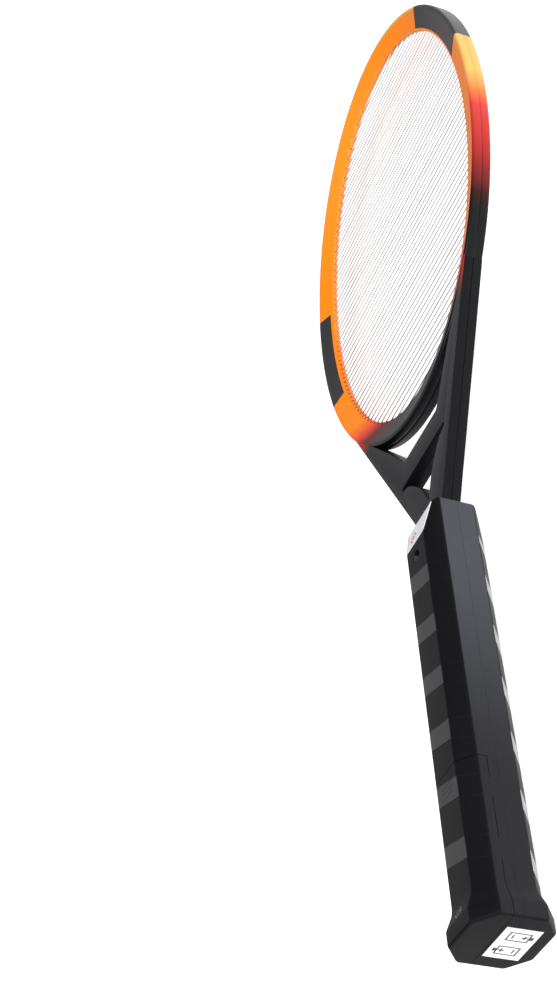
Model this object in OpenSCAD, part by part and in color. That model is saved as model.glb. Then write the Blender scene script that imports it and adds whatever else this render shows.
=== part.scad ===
// Electric fly swatter: an oval hoop strung with bare wires on a forked throat,
// and an eight-sided grip that holds two cells and the voltage step-up circuit.
// X runs across the hoop, Y from the butt end to the tip, Z out of the back face.
// The origin is on the flat butt end, on the plane where the casings part.

/* [Hoop] */
// Overall length, butt end to tip
total_len = 603; // [560:1:730]
// Width of the hoop across its outer edges
hoop_w = 206; // [184:1:248]
// Length of the hoop along the swatter
hoop_len = 304; // [270:1:330]
// Width of the rim, outer edge to inner lip
rim_w = 14.5; // [12:0.5:20]
// Thickness of the hoop and throat
frame_t = 10; // [9.5:0.5:16]
// Thickness of the rim at its inner lip
lip_t = 2.4; // [2.2:0.1:5]
// Width of the flat band along the rim's outer edge
rim_band = 2; // [1:0.5:4]
// Wall of the hoop and throat casings
frame_wall = 1.6; // [1.2:0.1:2]

/* [Throat] */
// Width of the neck where it leaves the grip
neck_w = 26; // [22:0.5:28]
// Distance from the bridge's lower edge to the grip
bridge_gap = 43; // [30:1:60]
// Width of the bridge bar
bridge_w = 13.5; // [8:0.5:20]
// Half width of the fork where it meets the hoop
fork_half_w = 70; // [56:1:76]
// Half width of the upper gap along the bridge
upper_gap_half_w = 19.6; // [12:0.2:26]
// Half width of the lower gap along the bridge
lower_gap_half_w = 25.5; // [18:0.5:27]
// Solid neck between the grip and the lower gap
neck_len = 12; // [8:1:20]

/* [Wire grid] */
// Diameter of a grid wire
wire_d = 0.7; // [0.6:0.1:1.4]
// Distance between neighbouring wires
wire_pitch = 4.46; // [3.5:0.02:6]

/* [Grip] */
// Length of the grip
grip_len = 222; // [205:1:260]
// Width of the grip across its side faces
grip_w = 34.4; // [33.6:0.2:42]
// Thickness of the grip across its flat faces
grip_t = 31.4; // [29:0.2:38]
// Width of a flat face
flat_w = 18.4; // [14:0.2:22]
// Height of a side face
side_h = 18.2; // [15:0.2:20]
// Wall of the grip casings
grip_wall = 2; // [1.6:0.1:2.4]
// Length of the sloping faces at the top of the grip
ramp_len = 18; // [12:1:24]
// Drop of each sloping face
ramp_drop = 4.7; // [3:0.1:6]
// How far the butt flares out on each side
flare = 3.3; // [1:0.1:5]
// Distance from the butt end to where the flare begins
flare_len = 18; // [14:0.5:22]

/* [Battery bay] */
// Length of the battery door
door_len = 76; // [74:1:90]
// Height of the door's side seam above the parting plane
seam_z = 4.2; // [3.8:0.1:5]
// Diameter of one cell
cell_d = 14.5; // [14:0.1:14.6]
// Length of one cell with its terminal
cell_len = 50.5; // [49:0.5:51]
// Length of a pressed contact spring
contact_spring_len = 5; // [4:0.5:6]

/* [Control] */
// Distance from the butt end to the middle of the push button
button_y = 165; // [150:1:172]
// Length of the push button
button_len = 18; // [12:0.5:22]
// Width of the push button
button_w = 11; // [8:0.5:13]
// How far the button stands out of the grip
button_proud = 1.6; // [1.4:0.1:2.4]
// How far the button travels
button_travel = 1.2; // [0.8:0.1:1.3]
// Distance from the butt end to the indicator lamp
led_y = 184; // [180:1:190]
// Diameter of the indicator lamp
led_d = 3; // [3:1:5]

/* [Circuit] */
// Length of the circuit board
board_len = 100; // [92:1:104]
// Width of the circuit board
board_w = 28; // [24:0.5:29]
// Thickness of the circuit board
board_t = 1.6; // [1:0.1:2]

/* [Fits] */
// Gap around a piece that slides
slide_gap = 0.3; // [0.15:0.05:0.5]
// Gap around a piece that is held still
seat_gap = 0.15; // [0.1:0.05:0.3]
// Thickness of the paper labels
label_t = 0.25; // [0.15:0.05:0.4]

/* [Hidden] */
$fn = 40;
eps = 0.02;

// Hoop: two half-axes, its middle, and the depth of each layer in from the outer edge.
rim_a = hoop_w / 2;
rim_b = hoop_len / 2;
hoop_y = total_len - rim_b;
rim_facets = 72;
edge_bevel = 0.6;
carrier_half_t = 0.9;
carrier_web = carrier_half_t - wire_d / 2 - 0.05;
carrier_w = 5.9;
channel_in = rim_w - carrier_w - 0.2;
busbar_w = 3;
busbar_in = 4;
busbar_t = 0.6;
busbar_reach = 70;
lead_r = 0.6;
wire_r = wire_d / 2;
wire_slot = wire_d + 0.1;
last_wire_gap = 3;
badge_t = 0.2;

// Height of the rim's sloping face at a depth d in from the outer edge.
rim_half_t = frame_t / 2;
function slope_z(d) = rim_half_t
    - max(0, d - rim_band) * (rim_half_t - lip_t / 2) / (rim_w - rim_band);

// Wire rows, counted from the hoop's middle, as far as the inner lip leaves room.
inner_b = rim_b - rim_w;
wire_rows = floor(2 * (inner_b - last_wire_gap) / wire_pitch) + 1;
function row_y(i) = hoop_y + (i - (wire_rows - 1) / 2) * wire_pitch;
function rim_x(d, y) = (rim_a - d) * sqrt(1 - pow((y - hoop_y) / (rim_b - d), 2));

// Throat levels along Y.
bridge_y = grip_len + bridge_gap;
bridge_top = bridge_y + bridge_w;
fork_y = hoop_y - rim_b * sqrt(1 - pow(fork_half_w / rim_a, 2));
upper_gap_top = fork_y - 9;
upper_gap_top_half_w = fork_half_w - 12;
neck_y = grip_len + 4;
gap_apex_y = grip_len + neck_len;
neck_half_w = neck_w / 2;
fork_slant = (fork_half_w - neck_half_w) / (fork_y - neck_y);

// Half widths of the fork's outer and inner edges at a level. Both gaps leave the arms
// at least their smallest width beside the bridge.
function fork_x(y) = neck_half_w + fork_slant * (y - neck_y);
arm_min = 6;
upper_half = min(upper_gap_half_w, fork_x(bridge_top) - arm_min);
lower_half = min(lower_gap_half_w, fork_x(bridge_y) - arm_min);
gap_slant = (upper_gap_top_half_w - upper_half) / (upper_gap_top - bridge_top);
function gap_x(y) = upper_half + gap_slant * (y - bridge_top);

// Circle that bounds each side of the lower gap: it passes through the gap's top
// corner and its apex, which is cut off square so that the two sides never touch.
gap_circle_y = grip_len;
apex_cut = 1.2;
gap_circle_x = (pow(lower_half, 2) + pow(bridge_y - gap_circle_y, 2)
    - pow(gap_apex_y - gap_circle_y, 2)) / (2 * lower_half);
gap_circle_r = sqrt(pow(gap_circle_x, 2) + pow(gap_apex_y - gap_circle_y, 2));

// Tang: the end of the frame that the grip clamps.
tang_len = 18;
tang_y = grip_len - tang_len;
lug_w = 1.4;
lug_len = 6;
lug_y = grip_len - 14;

// Grip section and the inside of its casings.
grip_hw = grip_w / 2;
grip_ht = grip_t / 2;
flat_hw = flat_w / 2;
side_hh = side_h / 2;
bevel_angle = atan2(grip_ht - side_hh, grip_hw - flat_hw);
inner_hw = grip_hw - grip_wall;
inner_ht = grip_ht - grip_wall;
end_wall = 2.2;
collar_wall = 2;
flare_stations = [[0, flare - 1.2], [1.2, flare], [7.4, flare], [flare_len * 0.77, flare * 0.2],
                  [flare_len, 0], [grip_len - 1.2, 0], [grip_len, -1.2]];

// Battery bay, from the butt end up.
cell_r = cell_d / 2;
cell_x = cell_r + 0.15;
cell_z = -(seam_z - 1.2);
terminal_d = 5.5;
terminal_len = 1.3;
cell_body_len = cell_len - terminal_len;
contact_t = 0.4;
link_y = 6.6;
bay_y0 = link_y + contact_t;
bay_y1 = bay_y0 + contact_spring_len + cell_len;
contact_w = 11;
contact_h = 11;
shelf_y = bay_y1 + contact_t + 2.4;
spring_wire = 0.8;

// Door rails and the grooves that they run in.
rail_t = 1.3;
rail_z0 = 1;
tongue_t = 1;
tongue_z0 = 1.5;
tongue_h = 1;
rail_x1 = inner_hw - slide_gap;
rail_x0 = rail_x1 - rail_t;
rail_len = door_len - end_wall - 2;

// Circuit board level, and the screws that hold it.
board_y = grip_len - 36 - board_len;
board_z = -2.4;
post_r = 2.6;
board_screw_r = 1.1;
board_screw_x = board_w / 2 - 4;
board_screw_ys = [board_y + 6, board_y + board_len - 8];

// Grip screws: one in the deep hole below the ramp, one under the door.
upper_screw_y = grip_len - 25;
lower_screw_y = shelf_y + 4.5;
screw_r = 1.5;
screw_head_r = 2.6;
screw_head_t = 1.8;
screw_hole_r = 3;
boss_r = 4.6;
boss_wall_z = 3;

// Push button and the switch behind it.
button_skirt = 1.2;
button_skirt_t = 1.2;
switch_size = 8;
switch_h = 4.5;
stem_r = 1.6;
switch_z = board_z - board_t - switch_h;
stem_gap = button_travel + 0.2;
skirt_z = -inner_ht + 0.2;

module frame_color() color([1, 0.52, 0.05]) children();
module black_color() color([0.1, 0.1, 0.11]) children();
module grip_color() color([0.2, 0.2, 0.21]) children();
module metal_color() color([0.78, 0.78, 0.8]) children();
module copper_color() color([0.72, 0.42, 0.22]) children();
module board_color() color([0.12, 0.4, 0.2]) children();
module paper_color() color([0.95, 0.95, 0.93]) children();

// ---- shared shapes ----

// Triangles that join rings of m points, closed into a loop or capped at both ends.
function skin_faces(rings, m, looped) = concat(
    [for (i = [0:(looped ? rings - 1 : rings - 2)], j = [0:m - 1])
        [i * m + j, i * m + (j + 1) % m, ((i + 1) % rings) * m + (j + 1) % m]],
    [for (i = [0:(looped ? rings - 1 : rings - 2)], j = [0:m - 1])
        [i * m + j, ((i + 1) % rings) * m + (j + 1) % m, ((i + 1) % rings) * m + j]],
    looped ? [] : [[for (j = [m - 1:-1:0]) j], [for (j = [0:m - 1]) (rings - 1) * m + j]]);

// A section swept round the hoop. Each point is [depth in from the outer edge, z].
module rim_sweep(section, from = 0, to = 360, steps = rim_facets) {
    looped = to - from == 360;
    rings = looped ? steps : steps + 1;
    points = [for (i = [0:rings - 1]) let (t = from + (to - from) * i / steps) for (p = section)
        [(rim_a - p[0]) * cos(t), hoop_y + (rim_b - p[0]) * sin(t), p[1]]];
    polyhedron(points, skin_faces(rings, len(section), looped), convexity = 8);
}

// The hoop's oval at a depth in from its outer edge.
module rim_oval(depth) {
    polygon([for (i = [0:rim_facets - 1]) let (t = 360 * i / rim_facets)
        [(rim_a - depth) * cos(t), hoop_y + (rim_b - depth) * sin(t)]]);
}

// The grip's eight corners, moved out by g on every face.
function grip_section(g) = let (
        x0 = flat_hw + g * tan(bevel_angle / 2), z0 = grip_ht + g,
        x1 = grip_hw + g, z1 = side_hh + g * tan((90 - bevel_angle) / 2))
    [[-x0, z0], [-x1, z1], [-x1, -z1], [-x0, -z0], [x0, -z0], [x1, -z1], [x1, z1], [x0, z0]];

module grip_loft(stations) {
    points = [for (s = stations) for (p = grip_section(s[1])) [p[0], s[0], p[1]]];
    polyhedron(points, skin_faces(len(stations), 8, false), convexity = 4);
}

// What the two sloping faces cut away, moved into the grip by a depth.
module ramp_wedges(depth) {
    for (side = [0, 1])
        mirror([0, 0, side])
            rotate([90, 0, 90])
                translate([0, 0, -grip_w])
                    linear_extrude(2 * grip_w)
                        polygon([[grip_len - ramp_len - depth, grip_ht - depth],
                                 [grip_len + 1, grip_ht - depth
                                     - ramp_drop * (ramp_len + depth + 1) / ramp_len],
                                 [grip_len + 1, grip_ht + 10],
                                 [grip_len - ramp_len - depth, grip_ht + 10]]);
}

module grip_outside() {
    difference() {
        grip_loft(flare_stations);
        ramp_wedges(0);
    }
}

module grip_inside() {
    difference() {
        grip_loft([[end_wall, -grip_wall], [grip_len - collar_wall, -grip_wall]]);
        ramp_wedges(grip_wall);
    }
}

module box(x0, x1, y0, y1, z0, z1) {
    translate([x0, y0, z0])
        cube([x1 - x0, y1 - y0, z1 - z0]);
}

// A coil of round wire along Y, from radius r0 to r1.
module coil(r0, r1, length, turns, wire, steps = 14, sides = 6) {
    n = turns * steps;
    points = [for (i = [0:n]) let (t = 360 * i / steps, f = i / n, r = r0 + (r1 - r0) * f)
        for (k = [0:sides - 1]) let (a = 360 * k / sides)
            [(r + wire / 2 * cos(a)) * cos(t), wire / 2 + (length - wire) * f + wire / 2 * sin(a),
             (r + wire / 2 * cos(a)) * sin(t)]];
    polyhedron(points, skin_faces(n + 1, sides, false), convexity = 8);
}

// Direction of a path at one of its points, halfway between the runs that meet there.
function unit(v) = v / norm(v);
function heading(path, i) = unit(
    (i > 0 ? unit(path[i] - path[i - 1]) : [0, 0, 0])
    + (i < len(path) - 1 ? unit(path[i + 1] - path[i]) : [0, 0, 0]));

// A wire of radius r laid along a path.
module lead(path, r, sides = 8) {
    points = [for (i = [0:len(path) - 1])
        let (h = heading(path, i), u = unit(cross(h, [0, 0, 1])), v = cross(u, h))
            for (k = [0:sides - 1]) let (a = 360 * k / sides)
                path[i] + r * (cos(a) * u + sin(a) * v)];
    polyhedron(points, skin_faces(len(path), sides, false), convexity = 4);
}

// ---- hoop and throat ----

// Section of the back casing's rim: its outer wall, sloping face, lip and inner channel.
rim_section = [
    [0, 0], [0, rim_half_t - edge_bevel], [edge_bevel, rim_half_t], [rim_band, rim_half_t],
    [rim_w, lip_t / 2], [rim_w, carrier_half_t], [channel_in, carrier_half_t],
    [channel_in, slope_z(channel_in) - frame_wall],
    [frame_wall, rim_half_t - frame_wall], [frame_wall, 0]];

module upper_gap(grow) {
    side = grow * sqrt(1 + gap_slant * gap_slant);
    difference() {
        polygon([[-upper_half - side + gap_slant * grow, bridge_top - grow],
                 [upper_half + side - gap_slant * grow, bridge_top - grow],
                 [upper_gap_top_half_w + side, upper_gap_top],
                 [-upper_gap_top_half_w - side, upper_gap_top]]);
        rim_oval(grow);
    }
}

module lower_gap(grow) {
    difference() {
        translate([-lower_half - grow, gap_apex_y + apex_cut - 2 * grow])
            square([2 * (lower_half + grow), bridge_y - gap_apex_y - apex_cut + 3 * grow]);
        for (side = [-1, 1])
            translate([side * gap_circle_x, gap_circle_y])
                circle(r = gap_circle_r - grow, $fn = 96);
    }
}

// The fork, bridge, neck and tang seen from the back, drawn in by a wall.
module throat_outline(inset) {
    side = inset * sqrt(1 + fork_slant * fork_slant);
    difference() {
        union() {
            polygon([[-neck_half_w + inset, tang_y - inset], [neck_half_w - inset, tang_y - inset],
                     [neck_half_w - inset, neck_y], [fork_half_w - side, fork_y],
                     [-fork_half_w + side, fork_y], [-neck_half_w + inset, neck_y]]);
            if (inset == 0)
                translate([-neck_half_w - lug_w, lug_y])
                    square([neck_w + 2 * lug_w, lug_len]);
        }
        upper_gap(inset);
        lower_gap(inset);
        rim_oval(inset == 0 ? rim_band : frame_wall + 1);
    }
}

module frame_half() {
    difference() {
        union() {
            rim_sweep(rim_section);
            linear_extrude(rim_half_t)
                throat_outline(0);
        }
        translate([0, 0, -1])
            linear_extrude(1 + rim_half_t - frame_wall)
                throat_outline(frame_wall);
    }
}

module frame_rear_shell() {
    frame_color()
        frame_half();
}

module frame_front_shell() {
    frame_color()
        mirror([0, 0, 1])
            frame_half();
}

// Insulating ring between the two lips, with a slot for every wire.
module wire_carrier() {
    outer_d = rim_w - carrier_w;
    frame_color() {
        translate([0, 0, -carrier_half_t])
            linear_extrude(carrier_web)
                difference() {
                    rim_oval(outer_d);
                    rim_oval(rim_w);
                }
        translate([0, 0, -carrier_half_t + carrier_web])
            linear_extrude(2 * carrier_half_t - carrier_web)
                difference() {
                    rim_oval(outer_d);
                    rim_oval(rim_w);
                    for (i = [0:wire_rows - 1])
                        translate([-rim_a, row_y(i) - wire_slot / 2])
                            square([2 * rim_a, wire_slot]);
                }
    }
}

// Every second wire, reaching the busbar on one side and stopping short on the other.
module wire_set(first, side) {
    long_d = busbar_in + busbar_w / 2;
    short_d = busbar_in + busbar_w + 1;
    for (i = [first:2:wire_rows - 1]) {
        y = row_y(i);
        far = rim_x(long_d, y);
        near = rim_x(short_d, y);
        translate([side > 0 ? -near : -far, y, 0])
            rotate([0, 90, 0])
                cylinder(r = wire_r, h = near + far);
    }
}

module live_wires() {
    metal_color()
        wire_set(0, -1);
}

module ground_wires() {
    metal_color()
        wire_set(1, 1);
}

module busbar(middle) {
    section = [[busbar_in, wire_r], [busbar_in, wire_r + busbar_t],
               [busbar_in + busbar_w, wire_r + busbar_t], [busbar_in + busbar_w, wire_r]];
    rim_sweep(section, middle - busbar_reach, middle + busbar_reach, 36);
}

module live_busbar() {
    copper_color()
        busbar(180);
}

module ground_busbar() {
    copper_color()
        busbar(0);
}

// The row where a lead ends: the nearest one to the fork's joint whose wire stops short
// of that side's busbar, so an odd row on one side and an even one on the other.
function lead_row(odd) = let (
        d = busbar_in + busbar_w / 2,
        y = hoop_y - (rim_b - d) * sqrt(1 - pow((fork_half_w - 5.5) / (rim_a - d), 2)))
    2 * round(((y - row_y(0)) / wire_pitch - odd) / 2) + odd;

// A lead from the circuit board through the neck and one arm to a busbar.
module grid_lead(side) {
    end_y = row_y(lead_row(side < 0 ? 1 : 0));
    crook_y = upper_gap_top - 4;
    arm_y = upper_gap_top - 16;
    lead([[side * 7, board_y + board_len - 4, board_z + lead_r],
          [side * 7, tang_y - 4, 0],
          [side * (neck_half_w - 4), neck_y, 0],
          [side * (lower_half + fork_x(bridge_y)) / 2, bridge_y, 0],
          [side * (gap_x(arm_y) + fork_x(arm_y)) / 2, arm_y, 0],
          [side * (gap_x(crook_y) + fork_x(crook_y)) / 2, crook_y, 0],
          [side * rim_x(busbar_in + busbar_w / 2, end_y), end_y, wire_r - lead_r]], lead_r);
}

module live_lead() {
    color([0.75, 0.12, 0.1])
        grid_lead(-1);
}

module ground_lead() {
    color([0.1, 0.1, 0.1])
        grid_lead(1);
}

// Two plain dark patches on the rim's back face, each from one rim facet's start to
// another's, so that it lies flat on them.
module badge(first, last) {
    d0 = rim_band + 0.4;
    d1 = rim_w - 1.2;
    section = [[d0, slope_z(d0) + eps], [d0, slope_z(d0) + badge_t],
               [d1, slope_z(d1) + badge_t], [d1, slope_z(d1) + eps]];
    rim_sweep(section, first * 360 / rim_facets, last * 360 / rim_facets, last - first);
}

module rim_badges() {
    black_color() {
        badge(3, 10);
        badge(35, 41);
    }
}

// ---- grip casings ----

// Path of the door's rails and tongues through the side walls and the butt wall.
module rail_path() {
    for (side = [0, 1])
        mirror([side, 0, 0]) {
            box(rail_x0 - slide_gap, inner_hw + eps, -1, door_len + slide_gap,
                rail_z0 - slide_gap, seam_z + 1);
            box(inner_hw - eps, inner_hw + tongue_t, -1, door_len + slide_gap,
                tongue_z0 - slide_gap, tongue_z0 + tongue_h + slide_gap);
        }
}

module label_pocket(depth, grow) {
    box(-11.6 - grow, 11.6 + grow, -1, depth, -12.5 - grow, seam_z - 0.8 + grow);
}

module neck_hole() {
    box(-neck_half_w - seat_gap, neck_half_w + seat_gap, grip_len - collar_wall - 1, grip_len + 1,
        -rim_half_t - seat_gap, rim_half_t + seat_gap);
}

// Ribs that press on the tang, seen as a comb of thin walls above it.
module tang_ribs() {
    for (y = [tang_y + 2, grip_len - 6])
        intersection() {
            box(-inner_hw - 0.5, inner_hw + 0.5, y, y + 1.4, rim_half_t + seat_gap, grip_ht);
            grip_outside();
        }
}

module grip_rear_shell() {
    grip_color()
        difference() {
            union() {
                difference() {
                    intersection() {
                        grip_outside();
                        box(-grip_w, grip_w, -1, grip_len + 1, 0, grip_t);
                    }
                    grip_inside();
                    box(-grip_w, grip_w, -1, door_len + slide_gap / 2, seam_z - slide_gap / 2, grip_t);
                }
                // Bulkhead above the bay, and the shelf that the lower screw clamps.
                intersection() {
                    box(-inner_hw - 0.5, inner_hw + 0.5, door_len + slide_gap,
                        door_len + slide_gap + 1.8, 0, grip_ht - 1);
                    grip_loft([[0, -1], [grip_len, -1]]);
                }
                box(-rail_x0 + 1, rail_x0 - 1, shelf_y, door_len + 1, 0, 2);
                // Boss of the upper screw.
                translate([0, upper_screw_y, seat_gap])
                    cylinder(r = boss_r, h = grip_ht - grip_wall);
                tang_ribs();
            }
            rail_path();
            label_pocket(label_t, 0.1);
            neck_hole();
            translate([0, upper_screw_y, boss_wall_z])
                cylinder(r = screw_hole_r, h = grip_t);
            translate([0, upper_screw_y, -1])
                cylinder(r = screw_r + 0.2, h = grip_t);
            translate([0, lower_screw_y, -1])
                cylinder(r = screw_r + 0.2, h = 4);
        }
}

// Cradles and walls that stand in the battery bay.
module bay_walls() {
    for (y = [bay_y0 + 12, bay_y1 - 14])
        difference() {
            box(-inner_hw - 0.5, inner_hw + 0.5, y, y + 1.6, -inner_ht - 0.5, cell_z);
            for (side = [-1, 1])
                translate([side * cell_x, y - 1, cell_z])
                    rotate([-90, 0, 0])
                        cylinder(r = cell_r + seat_gap, h = 4);
        }
    box(-inner_hw - 0.5, inner_hw + 0.5, link_y - 1.8, link_y - seat_gap, -inner_ht - 0.5, -1);
    box(-inner_hw - 0.5, inner_hw + 0.5, bay_y1 + contact_t + seat_gap,
        bay_y1 + contact_t + seat_gap + 1.6, -inner_ht - 0.5, -4 * lead_r);
}

module button_outline(grow) {
    offset(r = button_w / 2 - 1.5)
        offset(delta = -(button_w / 2 - 1.5))
            square([button_w + 2 * grow, button_len + 2 * grow], center = true);
}

module grip_front_shell() {
    grip_color()
        difference() {
            union() {
                difference() {
                    intersection() {
                        grip_outside();
                        box(-grip_w, grip_w, -1, grip_len + 1, -grip_t, 0);
                    }
                    grip_inside();
                }
                intersection() {
                    union() {
                        bay_walls();
                        mirror([0, 0, 1])
                            tang_ribs();
                        for (x = [-board_screw_x, board_screw_x], y = board_screw_ys)
                            translate([x, y, -grip_ht])
                                cylinder(r = post_r, h = grip_ht + board_z - board_t);
                        for (y = [upper_screw_y, lower_screw_y])
                            translate([0, y, -grip_ht])
                                cylinder(r = boss_r, h = grip_ht - seat_gap);
                    }
                    grip_loft([[0, -1], [grip_len, -1]]);
                }
            }
            rail_path();
            label_pocket(label_t, 0.1);
            neck_hole();
            for (x = [-board_screw_x, board_screw_x], y = board_screw_ys)
                translate([x, y, board_z - board_t - 6])
                    cylinder(r = board_screw_r, h = 8);
            for (y = [upper_screw_y, lower_screw_y])
                translate([0, y, -9])
                    cylinder(r = screw_r, h = 10);
            translate([0, led_y, -grip_t])
                cylinder(r = led_d / 2 + seat_gap, h = grip_t - 6);
            translate([-button_w / 2 - slide_gap, button_y - button_len / 2 - slide_gap, -grip_t])
                cube([button_w + 2 * slide_gap, button_len + 2 * slide_gap, grip_t - 8]);
        }
}

module battery_door() {
    grip_color() {
        difference() {
            intersection() {
                grip_outside();
                box(-grip_w, grip_w, -1, door_len - slide_gap / 2, seam_z + slide_gap / 2, grip_t);
            }
            grip_loft([[end_wall, -grip_wall], [door_len + 1, -grip_wall]]);
        }
        for (side = [0, 1])
            mirror([side, 0, 0]) {
                box(rail_x0, rail_x1, end_wall + 0.5, end_wall + rail_len, rail_z0, side_hh - 1);
                box(rail_x0, inner_hw + 0.4, end_wall + 0.5, end_wall + rail_len,
                    seam_z + slide_gap, side_hh - 1);
                box(rail_x1 - eps, inner_hw + tongue_t - slide_gap, end_wall + 0.5,
                    end_wall + rail_len, tongue_z0, tongue_z0 + tongue_h);
            }
        // Three low ridges for the thumb.
        for (i = [0:2])
            box(-6, 6, door_len - 6 - i * 2.4, door_len - 5 - i * 2.4, grip_ht - 0.5, grip_ht + 0.4);
    }
}

// ---- battery bay ----

// One cell along Y, with its raised terminal at the far end.
module cell() {
    rotate([-90, 0, 0]) {
        cylinder(r = cell_r, h = cell_body_len);
        cylinder(r = terminal_d / 2, h = cell_len);
    }
}

module cell_left() {
    color([0.2, 0.5, 0.35])
        translate([-cell_x, bay_y1 - cell_len, cell_z])
            cell();
}

module cell_right() {
    color([0.2, 0.5, 0.35])
        translate([cell_x, bay_y0 + cell_len, cell_z])
            rotate([0, 0, 180])
                cell();
}

module contact_plate(x, w, y) {
    box(x - w / 2, x + w / 2, y, y + contact_t, cell_z - contact_h / 2, cell_z + contact_h / 2);
}

module battery_link() {
    metal_color()
        contact_plate(0, 2 * cell_x + contact_w, link_y);
}

module link_spring() {
    metal_color()
        translate([-cell_x, bay_y0, cell_z])
            coil(4.6, 3, contact_spring_len, 4, spring_wire);
}

module positive_contact() {
    metal_color()
        contact_plate(-cell_x, contact_w, bay_y1);
}

module negative_contact() {
    metal_color()
        contact_plate(cell_x, contact_w, bay_y1);
}

module negative_spring() {
    metal_color()
        translate([cell_x, bay_y1, cell_z])
            mirror([0, 1, 0])
                coil(4.6, 3, contact_spring_len, 4, spring_wire);
}

// The two leads from the contacts under the shelf to the board.
module battery_leads() {
    for (side = [-1, 1])
        color(side < 0 ? [0.75, 0.12, 0.1] : [0.1, 0.1, 0.1])
            lead([[side * (cell_x + 4), bay_y1 + contact_t, -2 * lead_r],
                  [side * (cell_x + 4), bay_y1 + contact_t + 3, -2 * lead_r],
                  [side * 10.5, lower_screw_y + 2, -2 * lead_r],
                  [side * 10.5, board_y + 2, board_z + lead_r]], lead_r);
}

// ---- circuit ----

module circuit_board() {
    board_color()
        difference() {
            box(-board_w / 2, board_w / 2, board_y, board_y + board_len, board_z - board_t, board_z);
            for (x = [-board_screw_x, board_screw_x], y = board_screw_ys)
                translate([x, y, board_z - 5])
                    cylinder(r = board_screw_r + 0.2, h = 10);
        }
}

// Step-up transformer: an E-shaped core round a wound bobbin.
core_w = 18;
core_l = 16;
core_h = 13;
core_leg = 3.5;
core_y = board_y + 28;
winding_r = 4.4;
module transformer_core() {
    color([0.15, 0.15, 0.16])
        difference() {
            box(-core_w / 2, core_w / 2, core_y, core_y + core_l, board_z, board_z + core_h);
            for (side = [-1, 1])
                box(side < 0 ? -core_w / 2 + core_leg : 2, side < 0 ? -2 : core_w / 2 - core_leg,
                    core_y + core_leg, core_y + core_l - core_leg, board_z - 1, board_z + core_h + 1);
        }
}

module transformer_winding() {
    color([0.8, 0.7, 0.25])
        difference() {
            translate([0, core_y + core_leg + 0.1, board_z + core_h / 2])
                rotate([-90, 0, 0])
                    cylinder(r = winding_r, h = core_l - 2 * core_leg - 0.2);
            box(-2, 2, core_y, core_y + core_l, board_z - 1, board_z + core_h + 1);
        }
}

module hv_capacitor() {
    y = core_y + core_l + 6;
    color([0.55, 0.12, 0.1])
        box(-9, 9, y, y + 8, board_z, board_z + 12);
}

module rectifier_diodes() {
    y = board_y + board_len - 22;
    for (i = [0:3])
        translate([-9, y - 4 * i, board_z + 1.4])
            rotate([0, 90, 0]) {
                color([0.1, 0.1, 0.1])
                    translate([0, 0, 1.2])
                        cylinder(r = 1.3, h = 4.4);
                metal_color()
                    cylinder(r = 0.35, h = 6.8);
            }
}

module resistors() {
    for (i = [0:2])
        translate([3, board_y + board_len - 22 - 5 * i, board_z + 1.3])
            rotate([0, 90, 0]) {
                color([0.75, 0.65, 0.45])
                    translate([0, 0, 1.2])
                        cylinder(r = 1.2, h = 5.6);
                metal_color()
                    cylinder(r = 0.3, h = 8);
            }
}

module switching_transistor() {
    color([0.1, 0.1, 0.1])
        intersection() {
            translate([0, board_y + 18, board_z])
                cylinder(r = 2.4, h = 8);
            box(-3, 3, board_y + 16.6, board_y + 21, board_z, board_z + 8);
        }
}

module push_switch() {
    color([0.16, 0.16, 0.17]) {
        box(-switch_size / 2, switch_size / 2, button_y - switch_size / 2,
            button_y + switch_size / 2, switch_z, board_z - board_t);
    }
}

// Cap with a flange inside the casing and a stem towards the switch.
module push_button() {
    flange_z = -inner_ht + slide_gap;
    black_color() {
        box(-button_w / 2, button_w / 2, button_y - button_len / 2, button_y + button_len / 2,
            -grip_ht - button_proud, flange_z + button_skirt_t - eps);
        box(-button_w / 2 - button_skirt, button_w / 2 + button_skirt,
            button_y - button_len / 2 - button_skirt, button_y + button_len / 2 + button_skirt,
            flange_z, flange_z + button_skirt_t);
        translate([0, button_y, flange_z])
            cylinder(r = stem_r, h = switch_z - stem_gap - flange_z);
    }
}

module button_spring() {
    z0 = -inner_ht + slide_gap + button_skirt_t;
    metal_color()
        translate([0, button_y, z0])
            rotate([90, 0, 0])
                coil(stem_r + 0.9, stem_r + 0.9, switch_z - z0, 4, 0.4);
}

module indicator_led() {
    color([0.85, 0.1, 0.1]) {
        translate([0, led_y, -grip_ht - 0.4 + led_d / 2])
            cylinder(r = led_d / 2, h = 6);
        translate([0, led_y, -grip_ht - 0.4 + led_d / 2])
            sphere(r = led_d / 2);
    }
}

module board_screws() {
    metal_color()
        for (x = [-board_screw_x, board_screw_x], y = board_screw_ys)
            translate([x, y, board_z]) {
                cylinder(r = 2, h = 1.4);
                translate([0, 0, -board_t - 5.5])
                    cylinder(r = board_screw_r, h = 6 + board_t);
            }
}

module grip_screws() {
    metal_color() {
        translate([0, upper_screw_y, 0]) {
            translate([0, 0, boss_wall_z])
                cylinder(r = screw_head_r, h = screw_head_t);
            translate([0, 0, -8.5])
                cylinder(r = screw_r, h = 8.6 + boss_wall_z);
        }
        translate([0, lower_screw_y, 0]) {
            translate([0, 0, 2])
                cylinder(r = screw_head_r, h = screw_head_t);
            translate([0, 0, -8.5])
                cylinder(r = screw_r, h = 10.6);
        }
    }
}

// ---- labels ----

// Sheet that covers the sloping face below the throat.
module ramp_label() {
    paper_color()
        difference() {
            intersection() {
                grip_loft([[grip_len - ramp_len + 0.4, -0.4], [grip_len - 1.4, -0.4]]);
                box(-grip_w, grip_w, 0, grip_len, 0, grip_t);
                ramp_wedges(0);
            }
            ramp_wedges(-label_t);
        }
}

module butt_label() {
    paper_color()
        box(-11.6, 11.6, 0, label_t, -12.5, seam_z - 0.8);
}

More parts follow.
